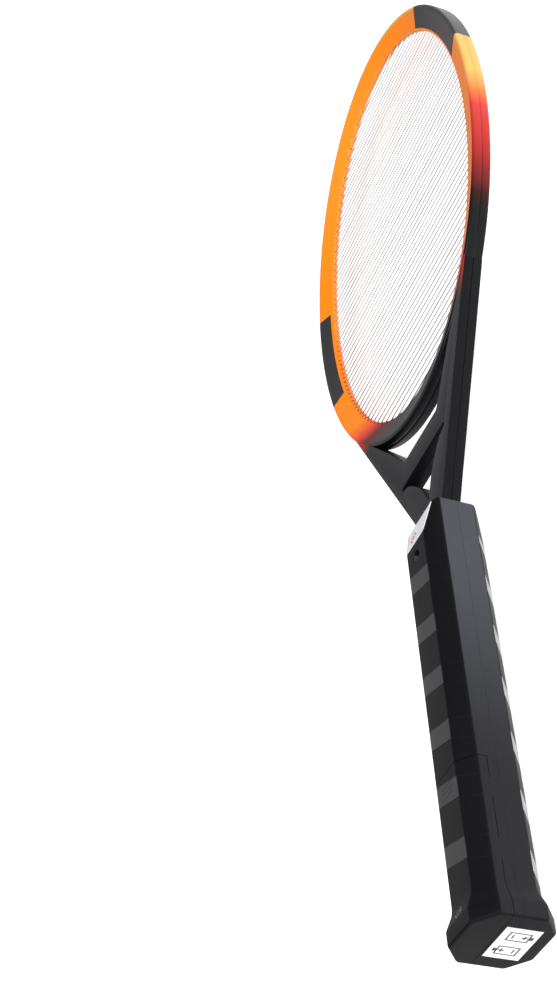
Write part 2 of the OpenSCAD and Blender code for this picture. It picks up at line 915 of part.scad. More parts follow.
frame_rear_shell();
frame_front_shell();
wire_carrier();
live_wires();
ground_wires();
live_busbar();
ground_busbar();
live_lead();
ground_lead();
rim_badges();
grip_rear_shell();
grip_front_shell();
battery_door();
cell_left();
cell_right();
battery_link();
link_spring();
positive_contact();
negative_contact();
negative_spring();
battery_leads();
circuit_board();
transformer_core();
transformer_winding();
hv_capacitor();
rectifier_diodes();
resistors();
switching_transistor();
push_switch();
push_button();
button_spring();
indicator_led();
board_screws();
grip_screws();
ramp_label();
butt_label();
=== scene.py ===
"""Looks for an electric fly swatter: hoop, wire grid, forked throat and battery grip."""

import math

import bmesh
import bpy
from bpy.props import FloatProperty, FloatVectorProperty, IntProperty, PointerProperty
from mathutils import Matrix, Vector


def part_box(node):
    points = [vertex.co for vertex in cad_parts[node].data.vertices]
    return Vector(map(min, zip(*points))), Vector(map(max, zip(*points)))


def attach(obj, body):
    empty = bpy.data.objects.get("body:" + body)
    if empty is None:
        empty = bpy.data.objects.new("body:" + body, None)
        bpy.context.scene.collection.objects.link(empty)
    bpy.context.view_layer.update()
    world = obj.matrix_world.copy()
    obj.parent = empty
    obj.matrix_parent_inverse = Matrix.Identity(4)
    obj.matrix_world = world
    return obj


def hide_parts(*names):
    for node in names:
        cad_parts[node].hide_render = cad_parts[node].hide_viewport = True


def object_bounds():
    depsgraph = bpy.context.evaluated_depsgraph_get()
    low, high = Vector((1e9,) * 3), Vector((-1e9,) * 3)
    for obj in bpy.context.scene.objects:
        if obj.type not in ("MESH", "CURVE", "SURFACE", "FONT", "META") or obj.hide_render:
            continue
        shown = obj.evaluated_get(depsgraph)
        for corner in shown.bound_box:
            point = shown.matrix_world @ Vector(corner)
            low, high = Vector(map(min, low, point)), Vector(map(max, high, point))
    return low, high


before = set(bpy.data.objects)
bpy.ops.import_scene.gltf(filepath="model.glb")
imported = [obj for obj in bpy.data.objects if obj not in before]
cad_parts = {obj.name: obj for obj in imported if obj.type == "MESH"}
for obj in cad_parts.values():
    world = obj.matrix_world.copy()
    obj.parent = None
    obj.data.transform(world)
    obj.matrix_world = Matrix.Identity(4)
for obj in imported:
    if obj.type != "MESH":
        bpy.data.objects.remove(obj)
CAD_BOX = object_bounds()

bl_info = {
    "name": "Electric Fly Swatter",
    "version": (1, 0, 0),
    "blender": (4, 5, 0),
    "location": "View3D > Sidebar > Swatter",
    "description": "Builds the visible pieces, finishes and stage of an electric fly swatter",
    "category": "Object",
}

MM = 0.001


def node_box(name):
    """Lowest and highest corner of a CAD node, in millimetres."""
    low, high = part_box(name)
    return [c / MM for c in low], [c / MM for c in high]


SHELL_LOW, SHELL_HIGH = node_box("frame_rear_shell")
GRIP_LOW, GRIP_HIGH = node_box("grip_front_shell")
TIP_Y = SHELL_HIGH[1]
HALF_WIDTH = SHELL_HIGH[0]
GRIP_TOP = GRIP_HIGH[1]


# ---------------------------------------------------------------------------
# Sizes and colours that a user would change
# ---------------------------------------------------------------------------


def size(name, default, text, low=0.0):
    return FloatProperty(
        name=name, description=text, default=default * MM, min=low * MM,
        unit="LENGTH", subtype="DISTANCE",
    )


def colour(name, default, text):
    return FloatVectorProperty(
        name=name, description=text, default=default, size=3, min=0.0, max=1.0, subtype="COLOR"
    )


class SwatterHoopSizes(bpy.types.PropertyGroup):
    half_length: size("Half length", 152.0, "Half of the hoop's length along the racket", 50)
    rim_depth: size("Rim depth", 14.5, "Width of the rim seen from the back", 5)
    half_thickness: size("Half thickness", 5.0, "From the parting plane to the rim's flat band", 2)
    band: size("Flat band", 2.0, "Width of the flat band along the rim's outer edge")
    lip_height: size("Lip height", 1.2, "From the parting plane to the top of the inner lip")
    notch_depth: size("Notch depth", 1.3, "How far each wire notch cuts into the lip")
    notch_width: size("Notch width", 0.9, "Width of a wire notch")
    wire_pitch: size("Wire pitch", 4.46, "Spacing of the wires")
    wire_rows: IntProperty(
        name="Wire rows", description="How many wires cross the hoop", default=61, min=2
    )
    facets: IntProperty(name="Facets", description="Steps round the hoop", default=180, min=24)


class SwatterGripSizes(bpy.types.PropertyGroup):
    half_width: size("Half width", 17.2, "From the middle to a side face")
    half_height: size("Half height", 15.7, "From the parting plane to the back face")
    flat_half: size("Half flat", 9.2, "Half width of the back and front faces")
    side_half: size("Half side", 9.1, "Half height of the side faces")
    edge_round: size("Edge rounding", 0.8, "Width of the rounding along the grip's edges")
    wall: size("Wall", 2.0, "Thickness of the casings")
    ramp_start: size("Ramp start", 204.0, "Where the sloping face below the throat begins")
    ramp_end_height: size("Ramp end height", 11.0, "Height of the sloping face at the grip's upper end")
    door_top: size("Door top", 75.85, "Upper edge of the battery door")
    seam_height: size("Door seam", 4.2, "Height of the door's side seams above the parting plane")
    seam_gap: size("Seam gap", 0.65, "Open gap between the door and the casing")


class SwatterColours(bpy.types.PropertyGroup):
    orange: colour("Orange", (1.0, 0.235, 0.004), "Rim colour round the tip")
    yellow: colour("Yellow", (0.76, 0.4, 0.09), "Outer wall near the tip")
    red: colour("Red", (0.52, 0.034, 0.028), "Middle of the fade")
    # On the throat, black on the walls against throat grey on the flats is painted shade.
    black: colour("Black", (0.003, 0.003, 0.004), "Throat and the lower outer wall")
    throat: colour("Throat grey", (0.03, 0.03, 0.032), "Flat faces of the throat")
    grip: colour("Grip", (0.004, 0.004, 0.0048), "Grip casings")
    paper: colour("Paper", (0.82, 0.82, 0.83), "Labels")


class SwatterStage(bpy.types.PropertyGroup):
    floor_size: size("Floor size", 16000.0, "Side of the square floor", 1000)
    camera_shift_x: FloatProperty(
        name="Shift X", description="Sideways shift of the view", default=-0.0293
    )
    camera_shift_y: FloatProperty(
        name="Shift Y", description="Upward shift of the view", default=0.0074
    )
    lens: FloatProperty(name="Lens", description="Focal length in millimetres", default=65.56, min=10)


def sizes_of(owner):
    """The numbers of a property group in millimetres, as attributes."""
    return {
        key: getattr(owner, key) / MM if isinstance(getattr(owner, key), float) else getattr(owner, key)
        for key in owner.__annotations__
    }


# ---------------------------------------------------------------------------
# Shader expressions
# ---------------------------------------------------------------------------


class Value:
    """A number on the surface. Arithmetic on it adds Math nodes."""

    def __init__(self, finish, socket):
        self.finish = finish
        self.socket = socket

    def math(self, operation, *others):
        sources = [self] + list(others)
        node = self.finish.node("ShaderNodeMath", {"operation": operation}, dict(enumerate(sources)))
        return Value(self.finish, node.outputs[0])

    def __add__(self, other):
        return self.math("ADD", other)

    def __sub__(self, other):
        return self.math("SUBTRACT", other)

    def __rsub__(self, other):
        node = self.finish.node("ShaderNodeMath", {"operation": "SUBTRACT"}, {0: other, 1: self})
        return Value(self.finish, node.outputs[0])

    def __mul__(self, other):
        return self.math("MULTIPLY", other)

    def __truediv__(self, other):
        return self.math("DIVIDE", other)

    def __neg__(self):
        return self.math("MULTIPLY", -1.0)

    __radd__ = __add__
    __rmul__ = __mul__

    def abs(self):
        return self.math("ABSOLUTE")

    def fract(self):
        return self.math("FRACT")

    def smallest(self, other):
        return self.math("MINIMUM", other)

    def largest(self, other):
        return self.math("MAXIMUM", other)

    def rise(self, low, high):
        """0 below low, 1 above high, smooth between."""
        node = self.finish.node(
            "ShaderNodeMapRange",
            {"interpolation_type": "SMOOTHSTEP"},
            {"Value": self, "From Min": low, "From Max": high, "To Min": 0.0, "To Max": 1.0},
        )
        return Value(self.finish, node.outputs[0])

    def fall(self, low, high):
        return 1 - self.rise(low, high)

    def within(self, low, high, soft):
        """1 between low and high, with soft edges."""
        return self.rise(low - soft, low + soft) * self.fall(high - soft, high + soft)


class Finish:
    """One material, built from expressions."""

    def __init__(self, name, roughness=0.5, metallic=0.0, coat=0.0, specular=0.5):
        self.material = bpy.data.materials.new(name)
        self.material.use_nodes = True
        self.tree = self.material.node_tree
        self.bsdf = self.tree.nodes["Principled BSDF"]
        self.bsdf.inputs["Roughness"].default_value = roughness
        self.bsdf.inputs["Metallic"].default_value = metallic
        self.bsdf.inputs["Coat Weight"].default_value = coat
        self.bsdf.inputs["Specular IOR Level"].default_value = specular
        place = self.node("ShaderNodeTexCoord", {}, {}).outputs["Object"]
        self.place = place
        split = self.node("ShaderNodeSeparateXYZ", {}, {0: place})
        self.x, self.y, self.z = (Value(self, s) / MM for s in split.outputs)

    def node(self, kind, settings, inputs):
        """A node of a type, with its settings, such as a ramp's stops, and then its sockets."""
        node = self.tree.nodes.new(kind)
        for key, value in settings.items():
            if key == "stops":
                ramp = node.color_ramp
                while len(ramp.elements) < len(value):
                    ramp.elements.new(0.5)
                for element, (at, shade) in zip(ramp.elements, value):
                    element.position = at
                    element.color = (*shade, 1.0)
            else:
                setattr(node, key, value)
        for key, value in inputs.items():
            socket = node.inputs[key]
            if isinstance(value, Value):
                self.tree.links.new(value.socket, socket)
            elif isinstance(value, bpy.types.NodeSocket):
                self.tree.links.new(value, socket)
            elif socket.type == "RGBA" and len(value) == 3:
                socket.default_value = (*value, 1.0)
            else:
                socket.default_value = value
        return node

    def mix(self, mask, first, second):
        """A colour that goes from first to second as mask goes from 0 to 1."""
        node = self.node("ShaderNodeMix", {"data_type": "RGBA"}, {0: mask, 6: first, 7: second})
        return node.outputs[2]

    def noise(self, scale, detail=2.0, stretch=(1, 1, 1)):
        """Noise with features of about 1/scale metres."""
        turned = self.node("ShaderNodeMapping", {}, {"Vector": self.place, "Scale": stretch})
        node = self.node(
            "ShaderNodeTexNoise", {}, {"Vector": turned.outputs[0], "Scale": scale, "Detail": detail}
        )
        return Value(self, node.outputs["Fac"])

    def normal(self):
        """The surface's direction as three numbers."""
        geometry = self.node("ShaderNodeNewGeometry", {}, {})
        split = self.node("ShaderNodeSeparateXYZ", {}, {0: geometry.outputs["Normal"]})
        return [Value(self, s) for s in split.outputs]

    def set(self, socket, value):
        target = self.bsdf.inputs[socket]
        if isinstance(value, Value):
            self.tree.links.new(value.socket, target)
        elif isinstance(value, bpy.types.NodeSocket):
            self.tree.links.new(value, target)
        elif target.type == "RGBA":
            target.default_value = (*value, 1.0)
        else:
            target.default_value = value
        return self

    def bump(self, height, strength=1.0, distance=0.0001):
        node = self.node(
            "ShaderNodeBump", {}, {"Height": height, "Strength": strength, "Distance": distance}
        )
        self.tree.links.new(node.outputs[0], self.bsdf.inputs["Normal"])
        return self


def moulded_plastic(name, shade, roughness=0.45, grain=900, depth=0.00003):
    """Moulded plastic with a fine spark-eroded grain."""
    finish = Finish(name, roughness=roughness, specular=0.3)
    speckle = finish.noise(grain, 3)
    finish.set(
        "Base Color", finish.mix(speckle, [c * 0.85 for c in shade], [min(1, c * 1.15) for c in shade])
    )
    finish.set("Roughness", roughness - 0.06 + speckle * 0.12)
    finish.bump(speckle, 0.6, depth)
    return finish.material


def bare_metal(name, shade, roughness=0.3, drawn=(1, 1, 1)):
    """Metal with fine marks along one direction and slight tarnish."""
    finish = Finish(name, metallic=1.0)
    marks = finish.noise(1400, 3, drawn)
    cloud = finish.noise(60, 2)
    worn = finish.mix(marks, [c * 0.72 for c in shade], shade)
    finish.set("Base Color", finish.mix(cloud.rise(0.45, 0.75), worn, [c * 0.6 for c in shade]))
    finish.set("Roughness", roughness - 0.1 + marks * 0.2)
    finish.bump(marks, 0.4, 0.00002)
    return finish.material


# ---------------------------------------------------------------------------
# Mesh helpers
# ---------------------------------------------------------------------------


def finish_piece(name, mesh_data, body, material, replaces=(), angle=32):
    """Turns a bmesh in millimetres into a piece that rides on a body."""
    bmesh.ops.remove_doubles(mesh_data, verts=mesh_data.verts, dist=0.0005)
    bmesh.ops.scale(mesh_data, vec=(MM, MM, MM), verts=mesh_data.verts)
    mesh = bpy.data.meshes.new(name)
    mesh_data.to_mesh(mesh)
    mesh_data.free()
    mesh.materials.append(material)
    mesh.shade_smooth()
    mesh.set_sharp_from_angle(angle=math.radians(angle))
    piece = bpy.data.objects.new(name, mesh)
    bpy.context.scene.collection.objects.link(piece)
    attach(piece, body)
    if replaces:
        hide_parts(*replaces)
    return piece


def face_out(mesh_data):
    bmesh.ops.recalc_face_normals(mesh_data, faces=mesh_data.faces)


def outline_face(mesh_data, points):
    """One flat face through points."""
    return mesh_data.faces.new([mesh_data.verts.new(p) for p in points])


def slab(mesh_data, points, rise, rounding=0.0, steps=3):
    """A flat outline raised along a vector, with its raised edge rounded."""
    base = outline_face(mesh_data, points)
    made = bmesh.ops.extrude_face_region(mesh_data, geom=[base])["geom"]
    verts = [g for g in made if isinstance(g, bmesh.types.BMVert)]
    bmesh.ops.translate(mesh_data, vec=rise, verts=verts)
    top = [g for g in made if isinstance(g, bmesh.types.BMFace)]
    base.normal_flip()
    if rounding:
        edges = list({e for f in top for e in f.edges})
        round_edges(mesh_data, edges, rounding, steps)
    return base


def round_edges(mesh_data, edges, width, steps=3):
    bmesh.ops.bevel(
        mesh_data, geom=list(edges), offset=width, offset_type="OFFSET", segments=steps,
        profile=0.5, affect="EDGES", clamp_overlap=True, material=-1,
    )


def block(mesh_data, low, high, rounding=0.0, steps=2):
    """A box from one corner to the other, with rounded edges."""
    made = bmesh.ops.create_cube(mesh_data, size=1.0)["verts"]
    centre = [(a + b) / 2 for a, b in zip(low, high)]
    span = [b - a for a, b in zip(low, high)]
    bmesh.ops.scale(mesh_data, vec=span, verts=made)
    bmesh.ops.translate(mesh_data, vec=centre, verts=made)
    if rounding:
        round_edges(mesh_data, {e for v in made for e in v.link_edges}, rounding, steps)


def turned(mesh_data, profile, centre, axis, steps=32):
    """A solid of revolution. The profile is (distance along the axis, radius)."""
    axis = Vector(axis).normalized()
    side = axis.orthogonal().normalized()
    centre = Vector(centre)
    verts = [mesh_data.verts.new(centre + axis * along + side * radius) for along, radius in profile]
    edges = [mesh_data.edges.new(pair) for pair in zip(verts, verts[1:])]
    bmesh.ops.spin(
        mesh_data, geom=verts + edges, cent=centre, axis=axis, dvec=(0, 0, 0),
        angle=2 * math.pi, steps=steps, use_merge=True, use_duplicate=False,
    )
    bmesh.ops.remove_doubles(mesh_data, verts=mesh_data.verts, dist=0.0005)


def cut(mesh_data, point, direction, keep_rest=False, cap=True):
    """Cuts everything beyond a plane away and closes the cut."""
    made = bmesh.ops.bisect_plane(
        mesh_data, geom=mesh_data.verts[:] + mesh_data.edges[:] + mesh_data.faces[:], dist=0.0001,
        plane_co=point, plane_no=direction, clear_outer=not keep_rest, clear_inner=False,
    )
    edges = [g for g in made["geom_cut"] if isinstance(g, bmesh.types.BMEdge)]
    if cap and not keep_rest:
        bmesh.ops.contextual_create(mesh_data, geom=edges)
    return [e for e in edges if e.is_valid]


# ---------------------------------------------------------------------------
# Hoop
# ---------------------------------------------------------------------------


class Hoop:
    """The hoop's own geometry, from its sizes."""

    def __init__(self, owner):
        self.__dict__.update(sizes_of(owner))
        self.middle = TIP_Y - self.half_length
        self.slope = (self.half_thickness - self.lip_height) / (self.rim_depth - self.band)

    def height(self, depth):
        """Height of the rim's face at a depth in from the outer edge."""
        return self.half_thickness - max(0.0, depth - self.band) * self.slope

    def at(self, depth, turn, z=0.0):
        """A point of the rim at a depth and a turn in degrees."""
        a = math.radians(turn)
        return Vector((
            (HALF_WIDTH - depth) * math.cos(a),
            self.middle + (self.half_length - depth) * math.sin(a), z
        ))

    def half_chord(self, depth, y):
        """Half of the hoop's width at a level, at a depth."""
        s = (y - self.middle) / (self.half_length - depth)
        return (HALF_WIDTH - depth) * math.sqrt(max(0.0, 1 - s * s))

    def turn_at(self, depth, y):
        return math.degrees(math.asin((y - self.middle) / (self.half_length - depth)))

    def row(self, index):
        return self.middle + (index - (self.wire_rows - 1) / 2) * self.wire_pitch

    def sweep(self, mesh_data, profile, start=0.0, end=360.0, steps=None):
        """A closed profile of (depth, z) swept round the hoop."""
        steps = steps or self.facets
        whole = end - start >= 360
        verts = [mesh_data.verts.new((HALF_WIDTH - d, 0, z)) for d, z in profile]
        edges = [mesh_data.edges.new((a, b)) for a, b in zip(verts, verts[1:] + verts[:1])]
        geom = verts + edges
        if start:
            bmesh.ops.rotate(
                mesh_data, cent=(0, 0, 0), matrix=Matrix.Rotation(math.radians(start), 3, "Z"), verts=verts
            )
        if not whole:
            geom.append(mesh_data.faces.new(verts))
        before = set(mesh_data.verts) - set(verts)
        bmesh.ops.spin(
            mesh_data, geom=geom, cent=(0, 0, 0), axis=(0, 0, 1), dvec=(0, 0, 0),
            angle=math.radians(end - start), steps=steps, use_merge=whole, use_duplicate=False,
        )
        for v in set(mesh_data.verts) - before:
            r = math.hypot(v.co.x, v.co.y)
            v.co.y += (self.half_length - HALF_WIDTH) * v.co.y / r + self.middle


def rim_profile(hoop):
    """Outer wall, flat band and sloping face of one casing, and the channel inside it."""
    h = hoop.half_thickness
    step = hoop.rim_depth - hoop.notch_depth
    return [
        (0.28, 0.05), (0.06, 0.3), (0.0, 1.0), (0.02, 2.2), (0.08, 3.3), (0.2, h - 0.8), (0.42, h - 0.38),
        (0.8, h - 0.1), (1.3, h), (hoop.band + 0.1, h - 0.03), (hoop.band + 1.0, hoop.height(hoop.band + 1.0)),
        (6.0, hoop.height(6.0)), (step, hoop.height(step)), (step + 0.05, 0.95), (8.4, 0.95), (8.4, 1.4),
        (1.6, 3.3), (1.6, 0.05),
    ]


def lip_block(mesh_data, hoop, inner, outer):
    """A piece of the inner lip that stands between two notches."""
    points = inner + outer[::-1]
    base = outline_face(mesh_data, [Vector((p.x, p.y, 0.93)) for p in points])
    made = bmesh.ops.extrude_face_region(mesh_data, geom=[base])["geom"]
    tops = [g for g in made if isinstance(g, bmesh.types.BMVert)]
    for v in tops:
        near_inner = min((v.co.xy - p.xy).length for p in inner) < 0.01
        v.co.z = (
            hoop.height(hoop.rim_depth) if near_inner
            else hoop.height(hoop.rim_depth - hoop.notch_depth)
        )
    return tops


def build_rim_shell(side):
    """Rim of one casing with a notch in its lip for every wire."""
    hoop = Hoop(bpy.context.scene.swatter_hoop)
    bm = bmesh.new()
    hoop.sweep(bm, rim_profile(hoop))
    inner_d, outer_d = hoop.rim_depth, hoop.rim_depth - hoop.notch_depth - 0.1
    half_notch = hoop.notch_width / 2
    for i in range(hoop.wire_rows - 1):
        y0, y1 = hoop.row(i) + half_notch, hoop.row(i + 1) - half_notch
        for way in (-1, 1):
            inner = [Vector((way * hoop.half_chord(inner_d, y), y, 0)) for y in (y0, (y0 + y1) / 2, y1)]
            outer = [Vector((way * hoop.half_chord(outer_d, y), y, 0)) for y in (y0, (y0 + y1) / 2, y1)]
            lip_block(bm, hoop, inner, outer)
    for way in (-1, 1):
        edge_y = hoop.middle + way * (hoop.row(hoop.wire_rows - 1) - hoop.middle + half_notch)
        ends = []
        for depth in (inner_d, outer_d):
            first = hoop.turn_at(depth, edge_y)
            last = (180 if way > 0 else -180) - first
            ends.append([hoop.at(depth, first + (last - first) * k / 16) for k in range(17)])
        lip_block(bm, hoop, *ends)
    if side < 0:
        bmesh.ops.scale(bm, vec=(1, 1, -1), verts=bm.verts)
    face_out(bm)
    return bm


def throat_points(hoop):
    """Outline of the throat's right half, from the tang up the fork and back to the middle."""
    fork = math.acos(70 / HALF_WIDTH)
    fork_y = hoop.middle - hoop.half_length * math.sin(fork)
    lines = [(0, GRIP_TOP - 12), (13, GRIP_TOP - 12), (13, 226), (18, 236.3)]
    lines.append((69.3, fork_y - 1.2))
    start = 360 - math.degrees(fork) + 1
    end = hoop.turn_at(1.9, fork_y - 9) % 360
    end = 540 - end if end < 270 else end
    arc = [hoop.at(1.9, start + (end - start) * k / 8) for k in range(9)]
    lines += [(p.x, p.y) for p in arc]
    gap_bottom, gap_top = 19.6, arc[-1].x
    lines += [(gap_top - 1.2, arc[-1].y - 1.6), (34.1, 298.1)]
    corner = (gap_bottom, 278.5)
    lines += [
        (corner[0] + 1.7, corner[1] + 2.5), (corner[0] + 0.5, corner[1] + 0.9),
        (corner[0] - 0.6, corner[1] + 0.15),
    ]
    lines += [(corner[0] - 2.4, corner[1]), (0, corner[1])]
    lines += [(0, 265), (23.6, 265), (24.9, 264.7), (25.2, 263.9), (24.9, 262.9)]
    circle_x, circle_y, circle_r = 46.18, 222.0, 47.71
    for k in range(14):
        y = 261.0 - (261.0 - 236.0) * k / 13
        lines.append((circle_x - math.sqrt(circle_r ** 2 - (y - circle_y) ** 2), y))
    lines += [(0, 235.2)]
    return lines


def build_throat(side):
    """Fork, bridge and neck of one casing, set a little below the rim's band."""
    hoop = Hoop(bpy.context.scene.swatter_hoop)
    bm = bmesh.new()
    top = hoop.half_thickness - 0.1
    points = [Vector((x, y, 0.04)) for x, y in throat_points(hoop)]
    base = outline_face(bm, points)
    made = bmesh.ops.extrude_face_region(bm, geom=[base])["geom"]
    tops = [g for g in made if isinstance(g, bmesh.types.BMVert)]
    bmesh.ops.translate(bm, vec=(0, 0, top), verts=tops)
    rims = [
        e for e in bm.edges
        if all(abs(v.co.z - top - 0.04) < 0.01 for v in e.verts)
        and not all(abs(v.co.x) < 0.001 for v in e.verts)
    ]
    round_edges(bm, rims, 0.7, 3)
    lower = [
        e for e in bm.edges
        if all(abs(v.co.z - 0.04) < 0.001 for v in e.verts)
        and not all(abs(v.co.x) < 0.001 for v in e.verts)
        and len(e.link_faces) == 2
    ]
    round_edges(bm, lower, 0.2, 1)
    middle = [f for f in bm.faces if all(abs(v.co.x) < 0.001 for v in f.verts)]
    bmesh.ops.delete(bm, geom=middle, context="FACES")
    bmesh.ops.mirror(
        bm, geom=bm.verts[:] + bm.edges[:] + bm.faces[:],
        matrix=Matrix.Identity(4), merge_dist=0.002, axis="X",
    )
    if side < 0:
        bmesh.ops.scale(bm, vec=(1, 1, -1), verts=bm.verts)
    face_out(bm)
    return bm


# ---------------------------------------------------------------------------
# Grip
# ---------------------------------------------------------------------------


class Grip:
    """The grip's own geometry, from its sizes."""

    def __init__(self, owner):
        self.__dict__.update(sizes_of(owner))
        rise, run = self.half_height - self.side_half, self.half_width - self.flat_half
        self.slant = math.atan2(rise, run)

    def ring(self, y, grow):
        """Eight corners at a level, moved out by grow on every face."""
        x0 = self.flat_half + grow * math.tan(self.slant / 2)
        z0 = self.half_height + grow
        x1 = self.half_width + grow
        z1 = self.side_half + grow * math.tan((math.pi / 2 - self.slant) / 2)
        corners = [(x0, z0), (x1, z1), (x1, -z1), (x0, -z0), (-x0, -z0), (-x1, -z1), (-x1, z1), (-x0, z0)]
        return [Vector((x, y, z)) for x, z in corners]

    def flare_stations(self):
        """(level, growth) from the butt end to the throat end."""
        top = GRIP_TOP
        return [
            (0.22, 2.0), (0.5, 2.65), (1.2, 3.2), (1.8, 3.28), (7.0, 3.28), (7.8, 3.1), (13.2, 0.86), (14.2, 0.55),
            (15.4, 0.28), (16.8, 0.1), (18.3, 0.0), (top - 1.3, 0.0), (top - 0.5, -0.35), (top, -1.2),
        ]


def grip_skin(grip):
    """The whole outside of the grip, closed, with its long edges rounded."""
    bm = bmesh.new()
    stations = grip.flare_stations()
    ring = [bm.verts.new(p) for p in grip.ring(*stations[0])]
    edges = [bm.edges.new((a, b)) for a, b in zip(ring, ring[1:] + ring[:1])]
    bmesh.ops.contextual_create(bm, geom=edges)
    for y, grow in stations[1:]:
        made = bmesh.ops.extrude_edge_only(bm, edges=edges)["geom"]
        edges = [g for g in made if isinstance(g, bmesh.types.BMEdge)]
        targets = grip.ring(y, grow)
        last = [g for g in made if isinstance(g, bmesh.types.BMVert)]
        for v in last:
            v.co = min(targets, key=lambda p: (math.atan2(p.x, p.z) - math.atan2(v.co.x, v.co.z)) ** 2)
    bmesh.ops.contextual_create(bm, geom=edges)
    face_out(bm)
    long_edges = [e for e in bm.edges if abs(e.verts[0].co.y - e.verts[1].co.y) > 0.2]
    round_edges(bm, long_edges, grip.edge_round, 3)
    butt = [e for e in bm.edges if all(v.co.y < 0.221 for v in e.verts) and len(e.link_faces) == 2]
    round_edges(bm, butt, 0.25, 2)
    run = GRIP_TOP - grip.ramp_start
    drop = grip.half_height - grip.ramp_end_height
    for way in (1, -1):
        made = cut(bm, (0, grip.ramp_start, way * grip.half_height), (0, drop, way * run))
        round_edges(bm, made, 0.35, 2)
    return bm


def flat_face(bm, way):
    """The long flat face on the back (way 1) or front (way -1)."""
    found = [
        f for f in bm.faces
        if f.normal.z * way > 0.999
        and abs(abs(f.calc_center_median().z) - 15.7) < 0.05 and f.calc_area() > 800
    ]
    return found[0]


def isolate(bm, face, x0, x1, y0, y1):
    """Cuts one rectangle out of a flat face and returns it."""
    z = face.calc_center_median().z
    centre = Vector(((x0 + x1) / 2, (y0 + y1) / 2, z))
    for point, direction in (
        ((0, y0, 0), (0, -1, 0)), ((0, y1, 0), (0, 1, 0)), ((x0, 0, 0), (-1, 0, 0)), ((x1, 0, 0), (1, 0, 0))
    ):
        bmesh.ops.bisect_plane(
            bm, geom=[face] + list(face.edges) + list(face.verts), dist=0.0001,
            plane_co=point, plane_no=direction,
        )
        near = [f for f in bm.faces if abs(f.normal.z) > 0.999 and abs(f.calc_center_median().z - z) < 0.02]
        face = min(near, key=lambda f: (0 if inside_box(f, centre) else 1, f.calc_area()))
    return face


def inside_box(face, point):
    xs, ys = [v.co.x for v in face.verts], [v.co.y for v in face.verts]
    return min(xs) < point.x < max(xs) and min(ys) < point.y < max(ys)


def sink_hole(bm, face, half_w, half_l, depth, squareness=2.0, edge=0.25):
    """Turns a rectangle of a flat face into the mouth of a hole and draws the hole inwards."""
    centre = face.calc_center_bounds()
    inward = -face.normal.copy()
    bmesh.ops.inset_individual(bm, faces=[face], thickness=0.6, use_even_offset=True)
    bmesh.ops.subdivide_edges(bm, edges=list(face.edges), cuts=7, use_grid_fill=False)
    shape_ring(face.verts, centre, half_w + edge, half_l + edge, squareness)
    bmesh.ops.inset_individual(bm, faces=[face], thickness=edge * 0.6)
    shape_ring(face.verts, centre, half_w, half_l, squareness)
    bmesh.ops.translate(bm, vec=inward * edge, verts=list(face.verts))
    bmesh.ops.inset_individual(bm, faces=[face], thickness=0.0002)
    bmesh.ops.translate(bm, vec=inward * (depth - edge), verts=list(face.verts))
    return face


def shape_ring(verts, centre, half_w, half_l, squareness):
    """Moves a loop of points onto a rounded shape round a centre."""
    for v in verts:
        a = math.atan2((v.co.y - centre.y) / half_l, (v.co.x - centre.x) / half_w)
        c, s = math.cos(a), math.sin(a)
        r = (abs(c) ** squareness + abs(s) ** squareness) ** (-1 / squareness)
        v.co.x, v.co.y = centre.x + half_w * c * r, centre.y + half_l * s * r


def bay_cut(bm, grip, keep_door):
    """Keeps the door's part of the skin, or everything else."""
    gap = grip.seam_gap / 2
    level = grip.seam_height + gap + (gap / 2 if keep_door else -gap / 2)
    top = grip.door_top + gap + (-gap / 2 if keep_door else gap / 2)
    cut(bm, (0, 0, level), (0, 0, 1), keep_rest=True)
    cut(bm, (0, top, 0), (0, 1, 0), keep_rest=True)

    def in_door(face):
        c = face.calc_center_median()
        return c.z > level and c.y < top

    drop = [f for f in bm.faces if in_door(f) != keep_door]
    bmesh.ops.delete(bm, geom=drop, context="FACES")


def thicken(bm, wall):
    """Gives an open skin a wall on its inner side."""
    bmesh.ops.solidify(bm, geom=bm.faces[:], thickness=wall)


# ---------------------------------------------------------------------------
# Finishes of the swatter
# ---------------------------------------------------------------------------


